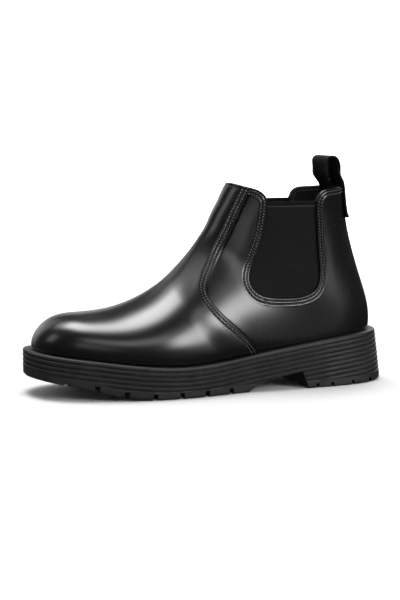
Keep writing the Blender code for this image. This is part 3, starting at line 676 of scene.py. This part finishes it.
# ---------------------------------------------------------------- the upper
STITCH = (2.4, 1.65, 0.40)      # pitch, length and radius of the thread
STITCH_SLANT = 24.0             # degrees across the row
SEAM_ROWS = (1.9, 4.4)          # stitch rows, in from a panel's edge
EDGE_ROUND = 0.5                # radius of a cut leather edge
EDGE_LINES = [0.12, 0.3, 0.5, 0.8, 1.3, 1.9, 2.5, 3.15, 3.8, 4.4, 5.0, 5.6, 7.0]
GAP_LINES = [-0.2, 0.15, 0.4, 0.7, 1.0, 1.5]
EDGE_SWELL, SWELL_RUN = 0.9, 30.0   # folded and doubled leather round the gore
WALL_SWELL = 0.8                # fullness low on the vamp's sides
TUCK, TUCK_HEIGHT = 1.3, 3.4    # how far the lower edge turns in, and from what height
GAP = 0.55                      # depth of the line pressed into the quarter along the vamp's edge
COLLAR_ROW = 2.4                # the collar's and back strip's single stitch row
COLLAR_LINES = [0.15, 0.45, 0.9, 1.6, 2.4, 3.2, 4.2]


def edge_profile(distance, depth=0.35):
    """Offset of leather near its edge: rounded over, and drawn in along the stitch rows."""
    t = np.clip(1 - distance / EDGE_ROUND, 0, 1)
    rounding = 0.45 * round_over(math.sqrt(0.98) * t)
    rows = sum(bump(distance, row, 0.5) for row in SEAM_ROWS)
    ridges = bump(distance, sum(SEAM_ROWS) / 2, 0.7) + bump(distance, SEAM_ROWS[1] + 1.3, 0.6)
    return -rounding - depth * rows + 0.12 * ridges


def tuck(p):
    """How far the leather's lower edge turns in under itself, just above the sole."""
    over_sole = p[:, 2] - sole_top(p[:, 0])
    return TUCK * np.clip(1 - over_sole / TUCK_HEIGHT, 0, 1) ** 1.6


def surface_waves(p):
    """The slight unevenness of lasted leather."""
    x, y, z = p[:, 0], p[:, 1], p[:, 2]
    return (0.06 * np.sin(x / 14 + 1.3 * np.sin(z / 25)) * np.sin(z / 17 + y / 21)
            + 0.02 * np.sin(x / 8.3 - z / 9.7 + y / 8.1))


def vamp_offset(p):
    """The vamp's outer face over the last: it laps over the quarters, full at its sides."""
    seam, collar = -toe_side(p), opening(p)
    lift = LAP_STEP * smoothstep((LAP + LAP_RUN - seam) / LAP_RUN)
    turned_edge = 0.5 * np.clip(1 - collar / 0.9, 0, 1) ** 2 + 0.3 * bump(collar, COLLAR_ROW, 0.6)
    fullness = WALL_SWELL * smoothstep((54 - p[:, 2]) / 26) * smoothstep((p[:, 0] + 130) / 40)
    relief = edge_profile(seam) - turned_edge + fullness * smoothstep(seam / 20)
    return lift + relief + surface_waves(p) * smoothstep(seam / 9)


def quarter_offset(p):
    """The quarters' outer face over the last, swollen round the gore, with a line by the vamp."""
    seam, collar = toe_side(p), opening(p)
    swell = EDGE_SWELL * smoothstep(1 - collar / SWELL_RUN) * smoothstep(seam / 12)
    relief = swell - GAP * bump(seam, 0.4, 0.45)
    return edge_profile(collar, 0.4) + relief + surface_waves(p) * smoothstep(collar / 12)


def add_leather(name, panel, offset, mat, *nodes):
    """A panel of the upper whose lower edge turns in towards the sole."""
    outer = offset - tuck(panel.points)
    inner = np.minimum(offset - LEATHER, outer - EDGE_LEAST)
    stretch(add_mesh(name, *panel.thick(outer, inner), mat), "leather", *nodes)


def add_upper(sheet, leather, thread):
    """Vamp, quarters and back strip, with their stitching."""
    body = sheet.cut(opening, 0.0, above=True)
    vamp = body.cut(toe_side, 0.0).scored(toe_side, [-d for d in EDGE_LINES])
    vamp = vamp.scored(opening, COLLAR_LINES)
    add_leather("vamp_leather", vamp, vamp_offset(vamp.points), leather, "vamp")
    rows = [stitch_row(vamp.contour(toe_side, -d), *STITCH, LAP_STEP - 0.18) for d in SEAM_ROWS]
    rows.append(stitch_row(vamp.contour(opening, COLLAR_ROW), *STITCH, 0.05))
    stretch(add_mesh("vamp_stitching", *joined(rows), thread), "leather")

    quarters = body.cut(toe_side, -LAP, above=True).scored(opening, EDGE_LINES)
    quarters = quarters.scored(toe_side, GAP_LINES)
    for side, above in (("lateral", False), ("medial", True)):
        quarter = quarters.cut(to_medial, 0.0, above=above)
        add_leather(f"quarter_{side}_leather", quarter, quarter_offset(quarter.points), leather,
                    f"quarter_{side}", f"quarter_{side}_rear")
        visible = quarter.cut(toe_side, 0.6, above=True)
        rows = []
        for distance in SEAM_ROWS:
            lines = visible.contour(opening, distance)
            for line in lines:
                line[:, 0] += line[:, 1] * quarter_offset(line[:, 0])[:, None]
            rows.append(stitch_row(lines, *STITCH, 0.12))
        stretch(add_mesh(f"quarter_{side}_stitching", *joined(rows), thread), "leather")

    strip = sheet.cut(off_centre, STRIP_HALF_WIDTH).cut(opening, 1.5, above=True)
    strip = strip.scored(off_centre, [STRIP_HALF_WIDTH - d for d in COLLAR_LINES])
    edge = STRIP_HALF_WIDTH - np.abs(strip.points[:, 1])
    lift = 1.3 - 0.6 * np.clip(1 - edge / 0.9, 0, 1) ** 2 - 0.3 * bump(edge, COLLAR_ROW, 0.6)
    obj = add_mesh("back_strip_leather", *strip.thick(lift, 0.1), leather)
    stretch(obj, "leather", "back_strip", "back_strip_upper")
    lines = strip.contour(off_centre, STRIP_HALF_WIDTH - COLLAR_ROW)
    stretch(add_mesh("back_strip_stitching", *stitch_row(lines, *STITCH, 1.1), thread), "leather")


def add_lining(sheet, lining, thread):
    """Inside leather, seen through the collar."""
    body = sheet.cut(opening, 0.6, above=True)
    collar = opening(body.points)
    outer = -LINING_OUT - (LINING_IN - LINING_OUT - 0.7) * smoothstep((collar - 6) / 6)
    rounding = 0.8 * smoothstep((1.2 - collar) / 1.2)
    obj = add_mesh("lining_leather", *body.thick(outer, -LINING_IN + rounding), lining)
    stretch(obj, "lining", "vamp_lining", "quarter_lining_lateral", "quarter_lining_medial",
            "heel_lining", "shaft_lining")
    lines = [np.stack([line[:, 0], -line[:, 1]], 1) for line in body.contour(opening, COLLAR_ROW + 1)]
    rows = stitch_row(lines, *STITCH, LINING_IN + 0.02)
    stretch(add_mesh("lining_stitching", *rows, thread), "lining")


def locate(xz, side):
    """Surface points over points of the side view, by Newton steps on (station, fraction)."""
    s, h = np.meshgrid(np.linspace(0.3, 1.0, 60), np.linspace(0.05, 0.95, 40), indexing="ij")
    guess = side_point(s, h).reshape(-1, 1, 2)
    nearest = ((guess - xz) ** 2).sum(2).argmin(0)
    s, h = s.reshape(-1)[nearest], h.reshape(-1)[nearest]
    step = 1e-4
    for _ in range(8):
        here = side_point(s, h)
        ds, dh = (side_point(s + step, h) - here) / step, (side_point(s, h + step) - here) / step
        error = xz - here
        det = ds[:, 0] * dh[:, 1] - ds[:, 1] * dh[:, 0]
        s = s + (error[:, 0] * dh[:, 1] - error[:, 1] * dh[:, 0]) / det
        h = h + (ds[:, 0] * error[:, 1] - ds[:, 1] * error[:, 0]) / det
    return upper_point(s, np.clip(h, 0, 1), side)


GORE_FOOT, GORE_BACK = 63.5, 89.5       # the elastic's lower and rear edges, under the leather
GORE_RIBS, RIB_RELIEF = 48, 0.16        # upright ribs


def add_gores(elastic):
    """Elastic side panels with upright ribs and a hemmed top edge."""
    front = smooth_curve(COLLAR_EDGE[4:10], 80)
    front = front[np.argsort(front[:, 1])]
    heights = np.concatenate([np.linspace(GORE_FOOT, GORE_TOP - 4, 34),
                              GORE_TOP - np.array([3.4, 3.0, 2.6, 2.2, 1.2, 0.5, 0.0])])
    u = np.linspace(0, 1, 4 * GORE_RIBS + 1)
    left = np.interp(heights, front[:, 1], front[:, 0]) - LAP + 0.5
    x = left[:, None] + (GORE_BACK - left)[:, None] * u
    z = np.broadcast_to(heights[:, None], x.shape)
    below = GORE_TOP - z
    hem = 0.35 * smoothstep((3.2 - below) / 0.5) - 0.25 * smoothstep((0.8 - below) / 0.8)
    ribs = RIB_RELIEF * np.cos(2 * math.pi * GORE_RIBS * u)[None] * (1 - smoothstep(4 - below))
    outer = -GORE_DEPTH + ribs + hem + 0.1
    for side, sign in (("lateral", -1), ("medial", 1)):
        points = locate(np.stack([x, z], -1).reshape(-1, 2), sign).reshape(x.shape + (3,))
        normals = unit(np.cross(np.gradient(points, axis=1), np.gradient(points, axis=0)))
        normals *= np.sign(normals[20, 90, 1]) * sign
        grids = (points + normals * outer[..., None],
                 points - normals * (GORE_DEPTH + GORE_THICK + hem)[..., None])
        faces = grid_solid_faces(*x.shape)
        if sign > 0:
            faces = [f[::-1] for f in faces]
        vertices = np.reshape(grids, (-1, 3))
        obj = add_mesh(f"gore_{side}_elastic", vertices, faces, elastic, sharp=70)
        stretch(obj, "elastic", f"gore_{side}")


# ---------------------------------------------------------------- the sole
RIM, RIM_ROUND = 3.0, 1.2       # plain rim above the first groove, radius of its edge
RIB_PITCH, RIB_DEPTH = 3.75, 0.9
RIB_PROFILE = ((0.0, -1.2), (0.08, -1.2), (0.18, -0.3), (0.30, 0.15), (0.55, 0.2), (0.78, 0.05),
               (0.90, -0.15), (0.95, -1.15))
PLAIN_BAND = 6.0                # smooth band above the tread
TREAD_ROUND = 0.8
NOTCH_WIDTH, NOTCH_HEIGHT = 5.2, 4.8
LUG_GROOVE_DEPTH = 2.0
FOREFOOT_NOTCHES = [-128.5 + 21.6 * i for i in range(7)]
HEEL_NOTCHES = [77.0, 90.5, 110.0, 128.5]
HEEL_NOTCH_SCALE = 0.72         # the heel's notches are smaller
LOOP_POINTS = 420               # round the sole
MERGE = 0.02 * MM               # where the ribs run out at the tread, points this close are one


def ledge(x):
    """Width of the sole's top outside the upper."""
    return LEDGE_TOE + (LEDGE_HEEL - LEDGE_TOE) * np.clip((x + 100) / 200, 0, 1)


def flare(x):
    """How much wider the sole is at the tread than at its top."""
    return HEEL_FLARE * np.clip((x - 50) / 90, 0, 1)


def feather_loop():
    """The upper's lower edge in plan with its outward directions, evenly spaced."""
    s = TOE_STATION + (SEAT_STATION - TOE_STATION) * eased(400)
    h = feather_fraction(s)
    lateral, medial = upper_point(s, h, -1), upper_point(s, h, 1)
    loop = np.concatenate([lateral, medial[-2::-1]])[:, :2]
    length = run_lengths(loop)
    even = np.linspace(0, length[-1], LOOP_POINTS, endpoint=False)
    loop = np.stack([np.interp(even, length, loop[:, i]) for i in range(2)], 1)
    tangent = unit(np.roll(loop, -3, axis=0) - np.roll(loop, 3, axis=0))
    outward = np.stack([tangent[:, 1], -tangent[:, 0]], 1)
    return loop, outward * np.sign((loop * outward).sum())


def two_sides(loop, middle=0.0):
    """The loop's lateral and medial points, each from toe to heel."""
    halves = loop[loop[:, 1] < middle], loop[loop[:, 1] >= middle]
    return [half[np.argsort(half[:, 0])] for half in halves]


def wall_depths():
    """Depths below the sole's top edge at which the wall has a ring of points."""
    ribs = [RIM + (k + at) * RIB_PITCH for k in range(11) for at, _ in RIB_PROFILE]
    return [0.0, 0.18, 0.5, 1.0, 1.7, 2.4] + ribs + [FAR]


def wall_out(depth, height):
    """How far the wall stands out at a depth below its top edge, the whole wall being height."""
    rim = RIM_ROUND * round_over(np.clip(1 - depth / RIM_ROUND, 0, 1))
    phase = np.mod((depth - RIM) / RIB_PITCH, 1.0)
    at, out = zip(*RIB_PROFILE)
    rib = RIB_DEPTH * np.interp(phase, at + (1.0,), out + (out[0],))
    fade = np.clip((height - PLAIN_BAND - depth) / 0.6, 0, 1) * (depth >= RIM - 0.01)
    foot = TREAD_ROUND * round_over(np.clip(1 - (height - depth) / TREAD_ROUND, 0, 1))
    return rib * fade - rim - foot


def sole_solid():
    """Ribbed wall, flat tread and the ledge on top, before the tread is cut."""
    loop, outward = feather_loop()
    width, growth = ledge(loop[:, 0]), flare(loop[:, 0])

    def ring(offset, level):
        plan = loop + outward * np.reshape(offset, (-1, 1))
        return np.column_stack([plan, level(plan[:, 0]) if callable(level) else level])
    edge = ring(width, sole_top)
    top = edge[:, 2]
    height = top - tread((edge[:, :2] + outward * growth[:, None])[:, 0])
    rings = [ring(np.full(LOOP_POINTS, inset), sole_top) for inset in (-9.0, -3.0, 1.0)]
    rings.append(ring(width * 0.5, sole_top))
    for depth in wall_depths():
        reached = np.minimum(depth, height)
        reached = np.where(reached > height - TREAD_ROUND, height, reached)
        out = width + growth * reached / height + wall_out(reached, height)
        rings.append(ring(out, top - reached))
    rings += [ring(width + growth - inset, tread) for inset in (6.0, 14.0)]
    index = np.arange(len(rings) * LOOP_POINTS).reshape(-1, LOOP_POINTS)
    turned = np.roll(index, -1, axis=1)
    faces = np.stack([index[:-1], turned[:-1], turned[1:], index[1:]], -1).reshape(-1, 4).tolist()
    faces += across_faces(rings[0], index[0, 0], True) + across_faces(rings[-1], index[-1, 0], False)
    return np.concatenate(rings), faces


def across_faces(ring, first, top):
    """Strips that close a ring from its lateral half to its medial half."""
    count = len(ring)
    toe, heel = int(ring[:, 0].argmin()), int(ring[:, 0].argmax())
    one = [(toe + i) % count for i in range((heel - toe) % count + 1)]
    two = [(toe - i) % count for i in range((toe - heel) % count + 1)]
    faces, i, j = [], 0, 0
    while i < len(one) - 1 or j < len(two) - 1:
        ahead = i < len(one) - 1 and (j >= len(two) - 1 or ring[one[i + 1], 0] <= ring[two[j + 1], 0])
        face = [one[i], one[i + 1] if ahead else two[j + 1], two[j]]
        i, j = (i + 1, j) if ahead else (i, j + 1)
        if len(set(face)) == 3:
            faces.append([int(first) + k for k in (face if top else face[::-1])])
    return faces


def cut_away(obj, cutter):
    modifier = obj.modifiers.new("cut", "BOOLEAN")
    modifier.operation = "DIFFERENCE"
    modifier.solver = "MANIFOLD"
    modifier.object = cutter
    bpy.context.view_layer.update()
    depsgraph = bpy.context.evaluated_depsgraph_get()
    mesh = bpy.data.meshes.new_from_object(obj.evaluated_get(depsgraph))
    obj.modifiers.clear()
    obj.data = mesh
    bpy.data.objects.remove(cutter)


def arch_prism(half_width=90.0):
    """What the arch leaves out of the sole, right across it."""
    outline = [ARCH[0], *smooth_curve(ARCH[1:6], 24).tolist(), ARCH[-1]][::-1]
    n = len(outline)
    vertices = [(x, y, z) for y in (-half_width, half_width) for x, z in outline]
    faces = [list(range(n)), list(range(2 * n - 1, n - 1, -1))]
    faces += [[(i + 1) % n, i, i + n, (i + 1) % n + n] for i in range(n)]
    return vertices, faces


def groove(path, width, depths):
    """A slot along a plan path, cut up into the tread from below the floor."""
    path = np.array(path, float)
    tangent = unit(np.gradient(path, axis=0))
    side = np.stack([-tangent[:, 1], tangent[:, 0]], 1) * width / 2
    vertices = []
    for p, w, depth in zip(path, side, depths):
        roof = float(tread(p[0])) + depth
        corners = ((p - w, -6), (p + w, -6), (p + w * 0.7, roof), (p - w * 0.7, roof))
        vertices += [(*q, z) for q, z in corners]
    faces = [[3, 2, 1, 0], [4 * len(path) - 4 + k for k in range(4)]]
    for a in range(0, 4 * len(path) - 4, 4):
        faces += [[a + k, a + (k + 1) % 4, a + 4 + (k + 1) % 4, a + 4 + k] for k in range(4)]
    return vertices, faces


def tread_grooves():
    """Chevron slots across the tread that end in the notches at the sole's edge."""
    loop, outward = feather_loop()
    edge = loop + outward * (ledge(loop[:, 0]) + flare(loop[:, 0]))[:, None]
    lateral, medial = two_sides(edge)
    slots = []
    for x in FOREFOOT_NOTCHES + HEEL_NOTCHES:
        y0, y1 = float(np.interp(x, *lateral.T)), float(np.interp(x, *medial.T))
        middle = (y0 + y1) / 2
        path = [(x, y0 - 8), (x, y0 + 5), (x + 1.5, y0 + 11), (x + 5, middle), (x + 1.5, y1 - 11),
                (x, y1 - 5), (x, y1 + 8)]
        scale = HEEL_NOTCH_SCALE if x > BREAST_X else 1.0
        notch = NOTCH_HEIGHT * scale * min(1.0, 0.35 + (x - FOREFOOT_NOTCHES[0]) / 30)
        depths = [notch, notch] + [min(notch, LUG_GROOVE_DEPTH)] * 3 + [notch, notch]
        slots.append(groove(path, NOTCH_WIDTH * scale, depths))
    return joined(slots)


def add_sole(rubber):
    obj = add_mesh("outsole_rubber", *sole_solid(), rubber)
    mend(obj, MERGE)
    cut_away(obj, add_mesh("arch_cutter", *arch_prism(), rubber))
    cutter = add_mesh("tread_cutter", *tread_grooves(), rubber)
    mend(cutter, MERGE)
    cut_away(obj, cutter)
    obj.data.shade_smooth()
    obj.data.set_sharp_from_angle(angle=math.radians(38))
    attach(obj, BOOT)
    finish_piece(obj, "sole_rubber", "outsole")


# ---------------------------------------------------------------- pull tab
TAB_LOOP = [(114.4, 164.4), (112.8, 169.0), (109.8, 176.0), (107.9, 180.6), (106.9, 182.6),
            (105.1, 183.7), (100.6, 183.8), (98.6, 183.0), (97.7, 181.2), (98.2, 176.5),
            (100.6, 169.5), (103.0, 164.4)]
OUTER_LEG, INNER_LEG = 2.3, -4.65       # middles of the webbing, over the leather's face
TIP_CURL = 1.3                          # of the outer leg's end, away from the leather
INNER_HANG = 4.0                        # the inner leg stands off the lining towards its top
LEG_STATIONS = np.linspace(0.9655, 1.004, 26)   # up the boot's back, from the legs' ends
TAB_STITCH = (2.8, 2.1, 0.34)


def back_line(s, y):
    """Points across the boot's back at a station, and the outward normals there."""
    def at(s):
        shape = SHAPE(s)
        width = np.where(y < 0, WIDTHS(s)[0], WIDTHS(s)[1])
        t = (1 - np.clip(np.abs(y - shape[1]) / width, 0, 1) ** shape[3]) ** (1 / shape[3])
        xz = side_point(s, shape[0] * (1 - t))
        return np.stack([xz[:, 0], y, xz[:, 1]], 1)
    points = at(s)
    normals = unit(np.cross(np.gradient(points, axis=0), at(s + 0.004) - at(s - 0.004)))
    return points, normals * np.sign(normals[len(y) // 2, 0])


def tab_surface(columns=33):
    """Middle surface of the folded webbing: up the outside, round the loop, down the inside."""
    y = np.linspace(-TAB_HALF_WIDTH, TAB_HALF_WIDTH, columns)
    outside, inside = [], []
    for i, s in enumerate(LEG_STATIONS):
        points, normals = back_line(s, y)
        outside.append(points + normals * (OUTER_LEG + TIP_CURL * max(1 - i / 6, 0) ** 1.7))
    for i, s in enumerate(LEG_STATIONS[::-1]):
        points, normals = back_line(s, y)
        hang = INNER_HANG * smoothstep(1 - i / (len(LEG_STATIONS) - 8))
        inside.append(points + normals * (INNER_LEG - hang))
    bend_out, bend_in = (leg - leg[columns // 2] for leg in (outside[-1], inside[0]))
    loop = smooth_curve(TAB_LOOP, 60)[4:-4]
    over = []
    for (x, z), u in zip(loop, np.linspace(0, 1, len(loop))):
        bend = bend_out * smoothstep(1 - u / 0.28) + bend_in * smoothstep(1 - (1 - u) / 0.28)
        over.append(np.stack([x + bend[:, 0], y, z + bend[:, 2]], 1))
    return np.array(outside + over + inside)


def add_pull_tab(webbing, thread):
    smooth = tab_surface()
    rows, columns = smooth.shape[:2]
    for _ in range(3):
        smooth[1:-1] = (smooth[:-2] + 2 * smooth[1:-1] + smooth[2:]) / 4
    normals = unit(np.cross(np.gradient(smooth, axis=1), np.gradient(smooth, axis=0)))
    normals *= np.sign(normals[2, columns // 2, 0])
    edge = TAB_HALF_WIDTH - np.abs(smooth[..., 1])
    half = WEBBING / 2 * (1 - 0.45 * np.clip(1 - edge / 0.6, 0, 1) ** 2)
    half = (half + 0.2 * bump(edge, CORD_INSET, 0.5))[..., None]
    vertices = np.reshape((smooth + normals * half, smooth - normals * half), (-1, 3))
    obj = add_mesh("pull_tab_webbing", vertices, grid_solid_faces(rows, columns), webbing, sharp=50)
    mend(obj)
    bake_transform(obj)
    finish_piece(obj, "webbing", "pull_tab_loop", "pull_tab_outer_leg", "pull_tab_inner_leg")
    box = [np.s_[4:25, 2], np.s_[4:25, columns - 3], np.s_[7, 2:-2], np.s_[20, 2:-2]]
    lines = [np.stack([smooth[side], normals[side]], 1) for side in box]
    seam = add_mesh("pull_tab_stitching", *stitch_row(lines, *TAB_STITCH, WEBBING / 2), thread)
    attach(seam, SHAFT)
    finish_piece(seam, "webbing")


# ---------------------------------------------------------------- inside the boot
def cushion(inset, low, high, x_from, dish, rows=90, columns=41, roll=1.2):
    """Soft layer inside the boot: flat below, rolled edges, its middle lower by dish."""
    loop, outward = feather_loop()
    loop = loop - outward * inset
    lateral, medial = two_sides(loop, 2.0)
    x0, x1 = max(x_from, loop[:, 0].min() + 0.6), loop[:, 0].max() - 0.6
    x = (x0 + (x1 - x0) * eased(rows))[:, None]
    v = -np.cos(np.linspace(0, math.pi, columns))[None]
    y0, y1 = np.interp(x, *lateral.T), np.interp(x, *medial.T)
    half_width = (y1 - y0) / 2
    if x_from > -FAR:
        half_width = half_width * np.sqrt(np.clip(1 - np.clip(1 - (x - x0) / 12, 0, 1) ** 2, 0.02, 1))
    y = (y0 + y1) / 2 + half_width * v
    x = np.broadcast_to(x, y.shape)
    edge = np.minimum(half_width * (1 - np.abs(v)), np.minimum(x - x0, x1 - x) + 0.1)
    rounding = roll * (1 - np.sqrt(1 - 0.97 * np.clip(1 - edge / roll, 0, 1) ** 2))
    bottom = sole_top(x) + low
    top = np.maximum(sole_top(x) + high - rounding - dish * np.clip(1 - v * v, 0, 1), bottom + 0.1)
    return x, y, top, bottom


def add_footbed(foam):
    """The footbed and the heel pad on it: inset from the leather, levels over the sole's top."""
    for name, inset, low, high, x_from, dish, node in (
            ("footbed_cushion", 6.6, 4.5, 7.4, -FAR, 0.5, "footbed"),
            ("heel_pad_cushion", 11.0, 7.3, 9.0, 62.0, 0.0, "heel_pad")):
        x, y, top, bottom = cushion(inset, low, high, x_from, dish)
        vertices = np.reshape([np.stack([x, y, z], -1) for z in (top, bottom)], (-1, 3))
        obj = add_mesh(name, vertices, grid_solid_faces(*x.shape), foam, sharp=60)
        mend(obj)
        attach(obj, BOOT)
        finish_piece(obj, "footbed", node)


def dress_hidden_pieces():
    """Materials for the CAD pieces that stay as they are, inside the boot."""
    stiffener = plain_material("stiffener_board", (0.26, 0.22, 0.17), (0.40, 0.35, 0.28), 0.8, 500.0)
    filler = plain_material("cork_filler", (0.16, 0.09, 0.04), (0.42, 0.29, 0.17), 0.9, 420.0)
    board = plain_material("insole_board", (0.30, 0.21, 0.13), (0.44, 0.33, 0.22), 0.85, 300.0)
    steel = plain_material("spring_steel", (0.42, 0.43, 0.44), (0.62, 0.63, 0.64), 0.32, 900.0, 1.0)
    looks = {"toe_puff": stiffener, "heel_counter": stiffener, "heel_filler": filler,
             "forefoot_filler": filler, "insole_board": board, "shank": steel,
             "shank_rivet_front": steel, "shank_rivet_rear": steel}
    for node, mat in looks.items():
        mesh = bpy.data.objects[node].data
        mesh.materials.clear()
        mesh.materials.append(mat)


# ---------------------------------------------------------------- stage, light and camera
CAMERA = (-431.6, -1166.3, 218.1)     # drafting millimetres
TARGET = (-7.1, 0.0, 69.2)
LENS = 92.9

# soft panels round the boot: azimuth, elevation, half width, half height (degrees), radiance
PANELS = [
    (112, 79, 15, 20, 13.0),        # overhead strip, leaning back
    (105, 24, 12, 14, 0.6),         # behind the toe
    (85, 6, 26, 9, 0.8),            # backdrop, for the light edges
    (-57, 24, 14, 10, 12.5),        # front, towards the heel
    (-93, 38, 20, 9, 2.4),          # front, higher
    (-118, 16, 9, 8, 1.2),          # front, by the camera
    (-46, 6, 6, 4, 1.2),            # low, by the heel
    (48, 27, 15, 10, 7.0),          # medial side
    (118, 50, 10, 7, 2.0),          # medial side, higher
    (168, 32, 12, 10, 1.6),         # before the toe
]
AMBIENT, BELOW = 0.05, 0.02         # radiance of the dark studio, above and below the horizon


def add_stage():
    """Floor that curves up into a backdrop; the backdrop glows, the floor by the boot doesn't."""
    g = Graph("studio_paper")
    mat = g.surface(g.mix(g.noise(3.0, 2.0), (0.60, 0.60, 0.60), (0.62, 0.62, 0.62)), 0.9,
                    Specular_IOR_Level=0.0)
    g.put(g.shader.inputs["Emission Strength"], g.ramp(g.axis("Y"), 0.3, 1.2, 0.0, 1.0))
    g.put(g.shader.inputs["Emission Color"], (1, 1, 1, 1))
    profile = [(-3.0, 0.0), (1.4, 0.0)]
    profile += [(1.4 + 0.6 * math.sin(a), 0.6 - 0.6 * math.cos(a))
                for a in np.linspace(0, math.pi / 2, 16)[1:]]
    profile.append((2.0, 3.0))
    vertices = [(x, y, z) for y, z in profile for x in (-4.0, 4.0)]
    faces = [[2 * i, 2 * i + 1, 2 * i + 3, 2 * i + 2] for i in range(len(profile) - 1)]
    mesh = bpy.data.meshes.new("studio_paper")
    mesh.from_pydata(vertices, [], faces)
    mesh.materials.append(mat)
    mesh.shade_smooth()
    floor = add_object("studio_paper", mesh)
    floor.visible_glossy = False
    floor.visible_shadow = False


def add_lights():
    """A dark studio with soft glowing panels, as a world that varies with direction."""
    world = bpy.data.worlds.new("studio")
    world.use_nodes = True
    g = Nodes(world.node_tree)
    direction = g.node("ShaderNodeTexCoord").outputs["Generated"]

    def along(vector):
        inputs = {0: direction, 1: vector}
        return g.node("ShaderNodeVectorMath", inputs, operation="DOT_PRODUCT").outputs["Value"]

    def squared(value, half):
        scaled = g.math("DIVIDE", value, math.sin(math.radians(half)))
        return g.math("POWER", g.math("ABSOLUTE", scaled), 4.0)
    total = g.ramp(along((0, 0, 1)), -0.1, 0.1, BELOW, AMBIENT)
    for azimuth, elevation, width, height, radiance in PANELS:
        a, e = math.radians(azimuth), math.radians(elevation)
        front = (math.cos(e) * math.cos(a), math.cos(e) * math.sin(a), math.sin(e))
        side = (-math.sin(a), math.cos(a), 0.0)
        up = (-math.sin(e) * math.cos(a), -math.sin(e) * math.sin(a), math.cos(e))
        falloff = g.math("ADD", squared(along(side), width), squared(along(up), height))
        glow = g.math("EXPONENT", g.math("MULTIPLY", falloff, -1.0))
        lit = g.math("MULTIPLY", glow, g.math("GREATER_THAN", along(front), 0.0))
        total = g.math("ADD", total, g.math("MULTIPLY", lit, radiance))
    background = g.tree.nodes["Background"]
    g.put(background.inputs["Color"], (1, 1, 1, 1))
    g.put(background.inputs["Strength"], total)
    bpy.context.scene.world = world
    bpy.context.scene.view_settings.view_transform = "Standard"


def add_camera():
    data = bpy.data.cameras.new("camera")
    data.lens, data.sensor_width = LENS, 36.0
    camera = add_object("camera", data)
    camera.location = place(CAMERA)
    direction = Vector(place(TARGET)) - Vector(place(CAMERA))
    camera.rotation_euler = direction.to_track_quat("-Z", "Y").to_euler()
    bpy.context.scene.camera = camera


def main():
    leather, thread = leather_material(), thread_material()
    sheet = upper_sheet(OPEN_ROWS, SHAFT_ROWS, COLUMNS)
    add_upper(sheet, leather, thread)
    add_lining(upper_sheet(OPEN_ROWS // 2, SHAFT_ROWS // 2, COLUMNS // 2), lining_material(), thread)
    add_gores(elastic_material())
    add_sole(rubber_material())
    add_pull_tab(webbing_material(), thread)
    foam = plain_material("footbed_foam", (0.006, 0.006, 0.0062), (0.013, 0.013, 0.0132), 0.85, 900.0)
    add_footbed(foam)
    dress_hidden_pieces()
    add_stage()
    add_lights()
    add_camera()


main()
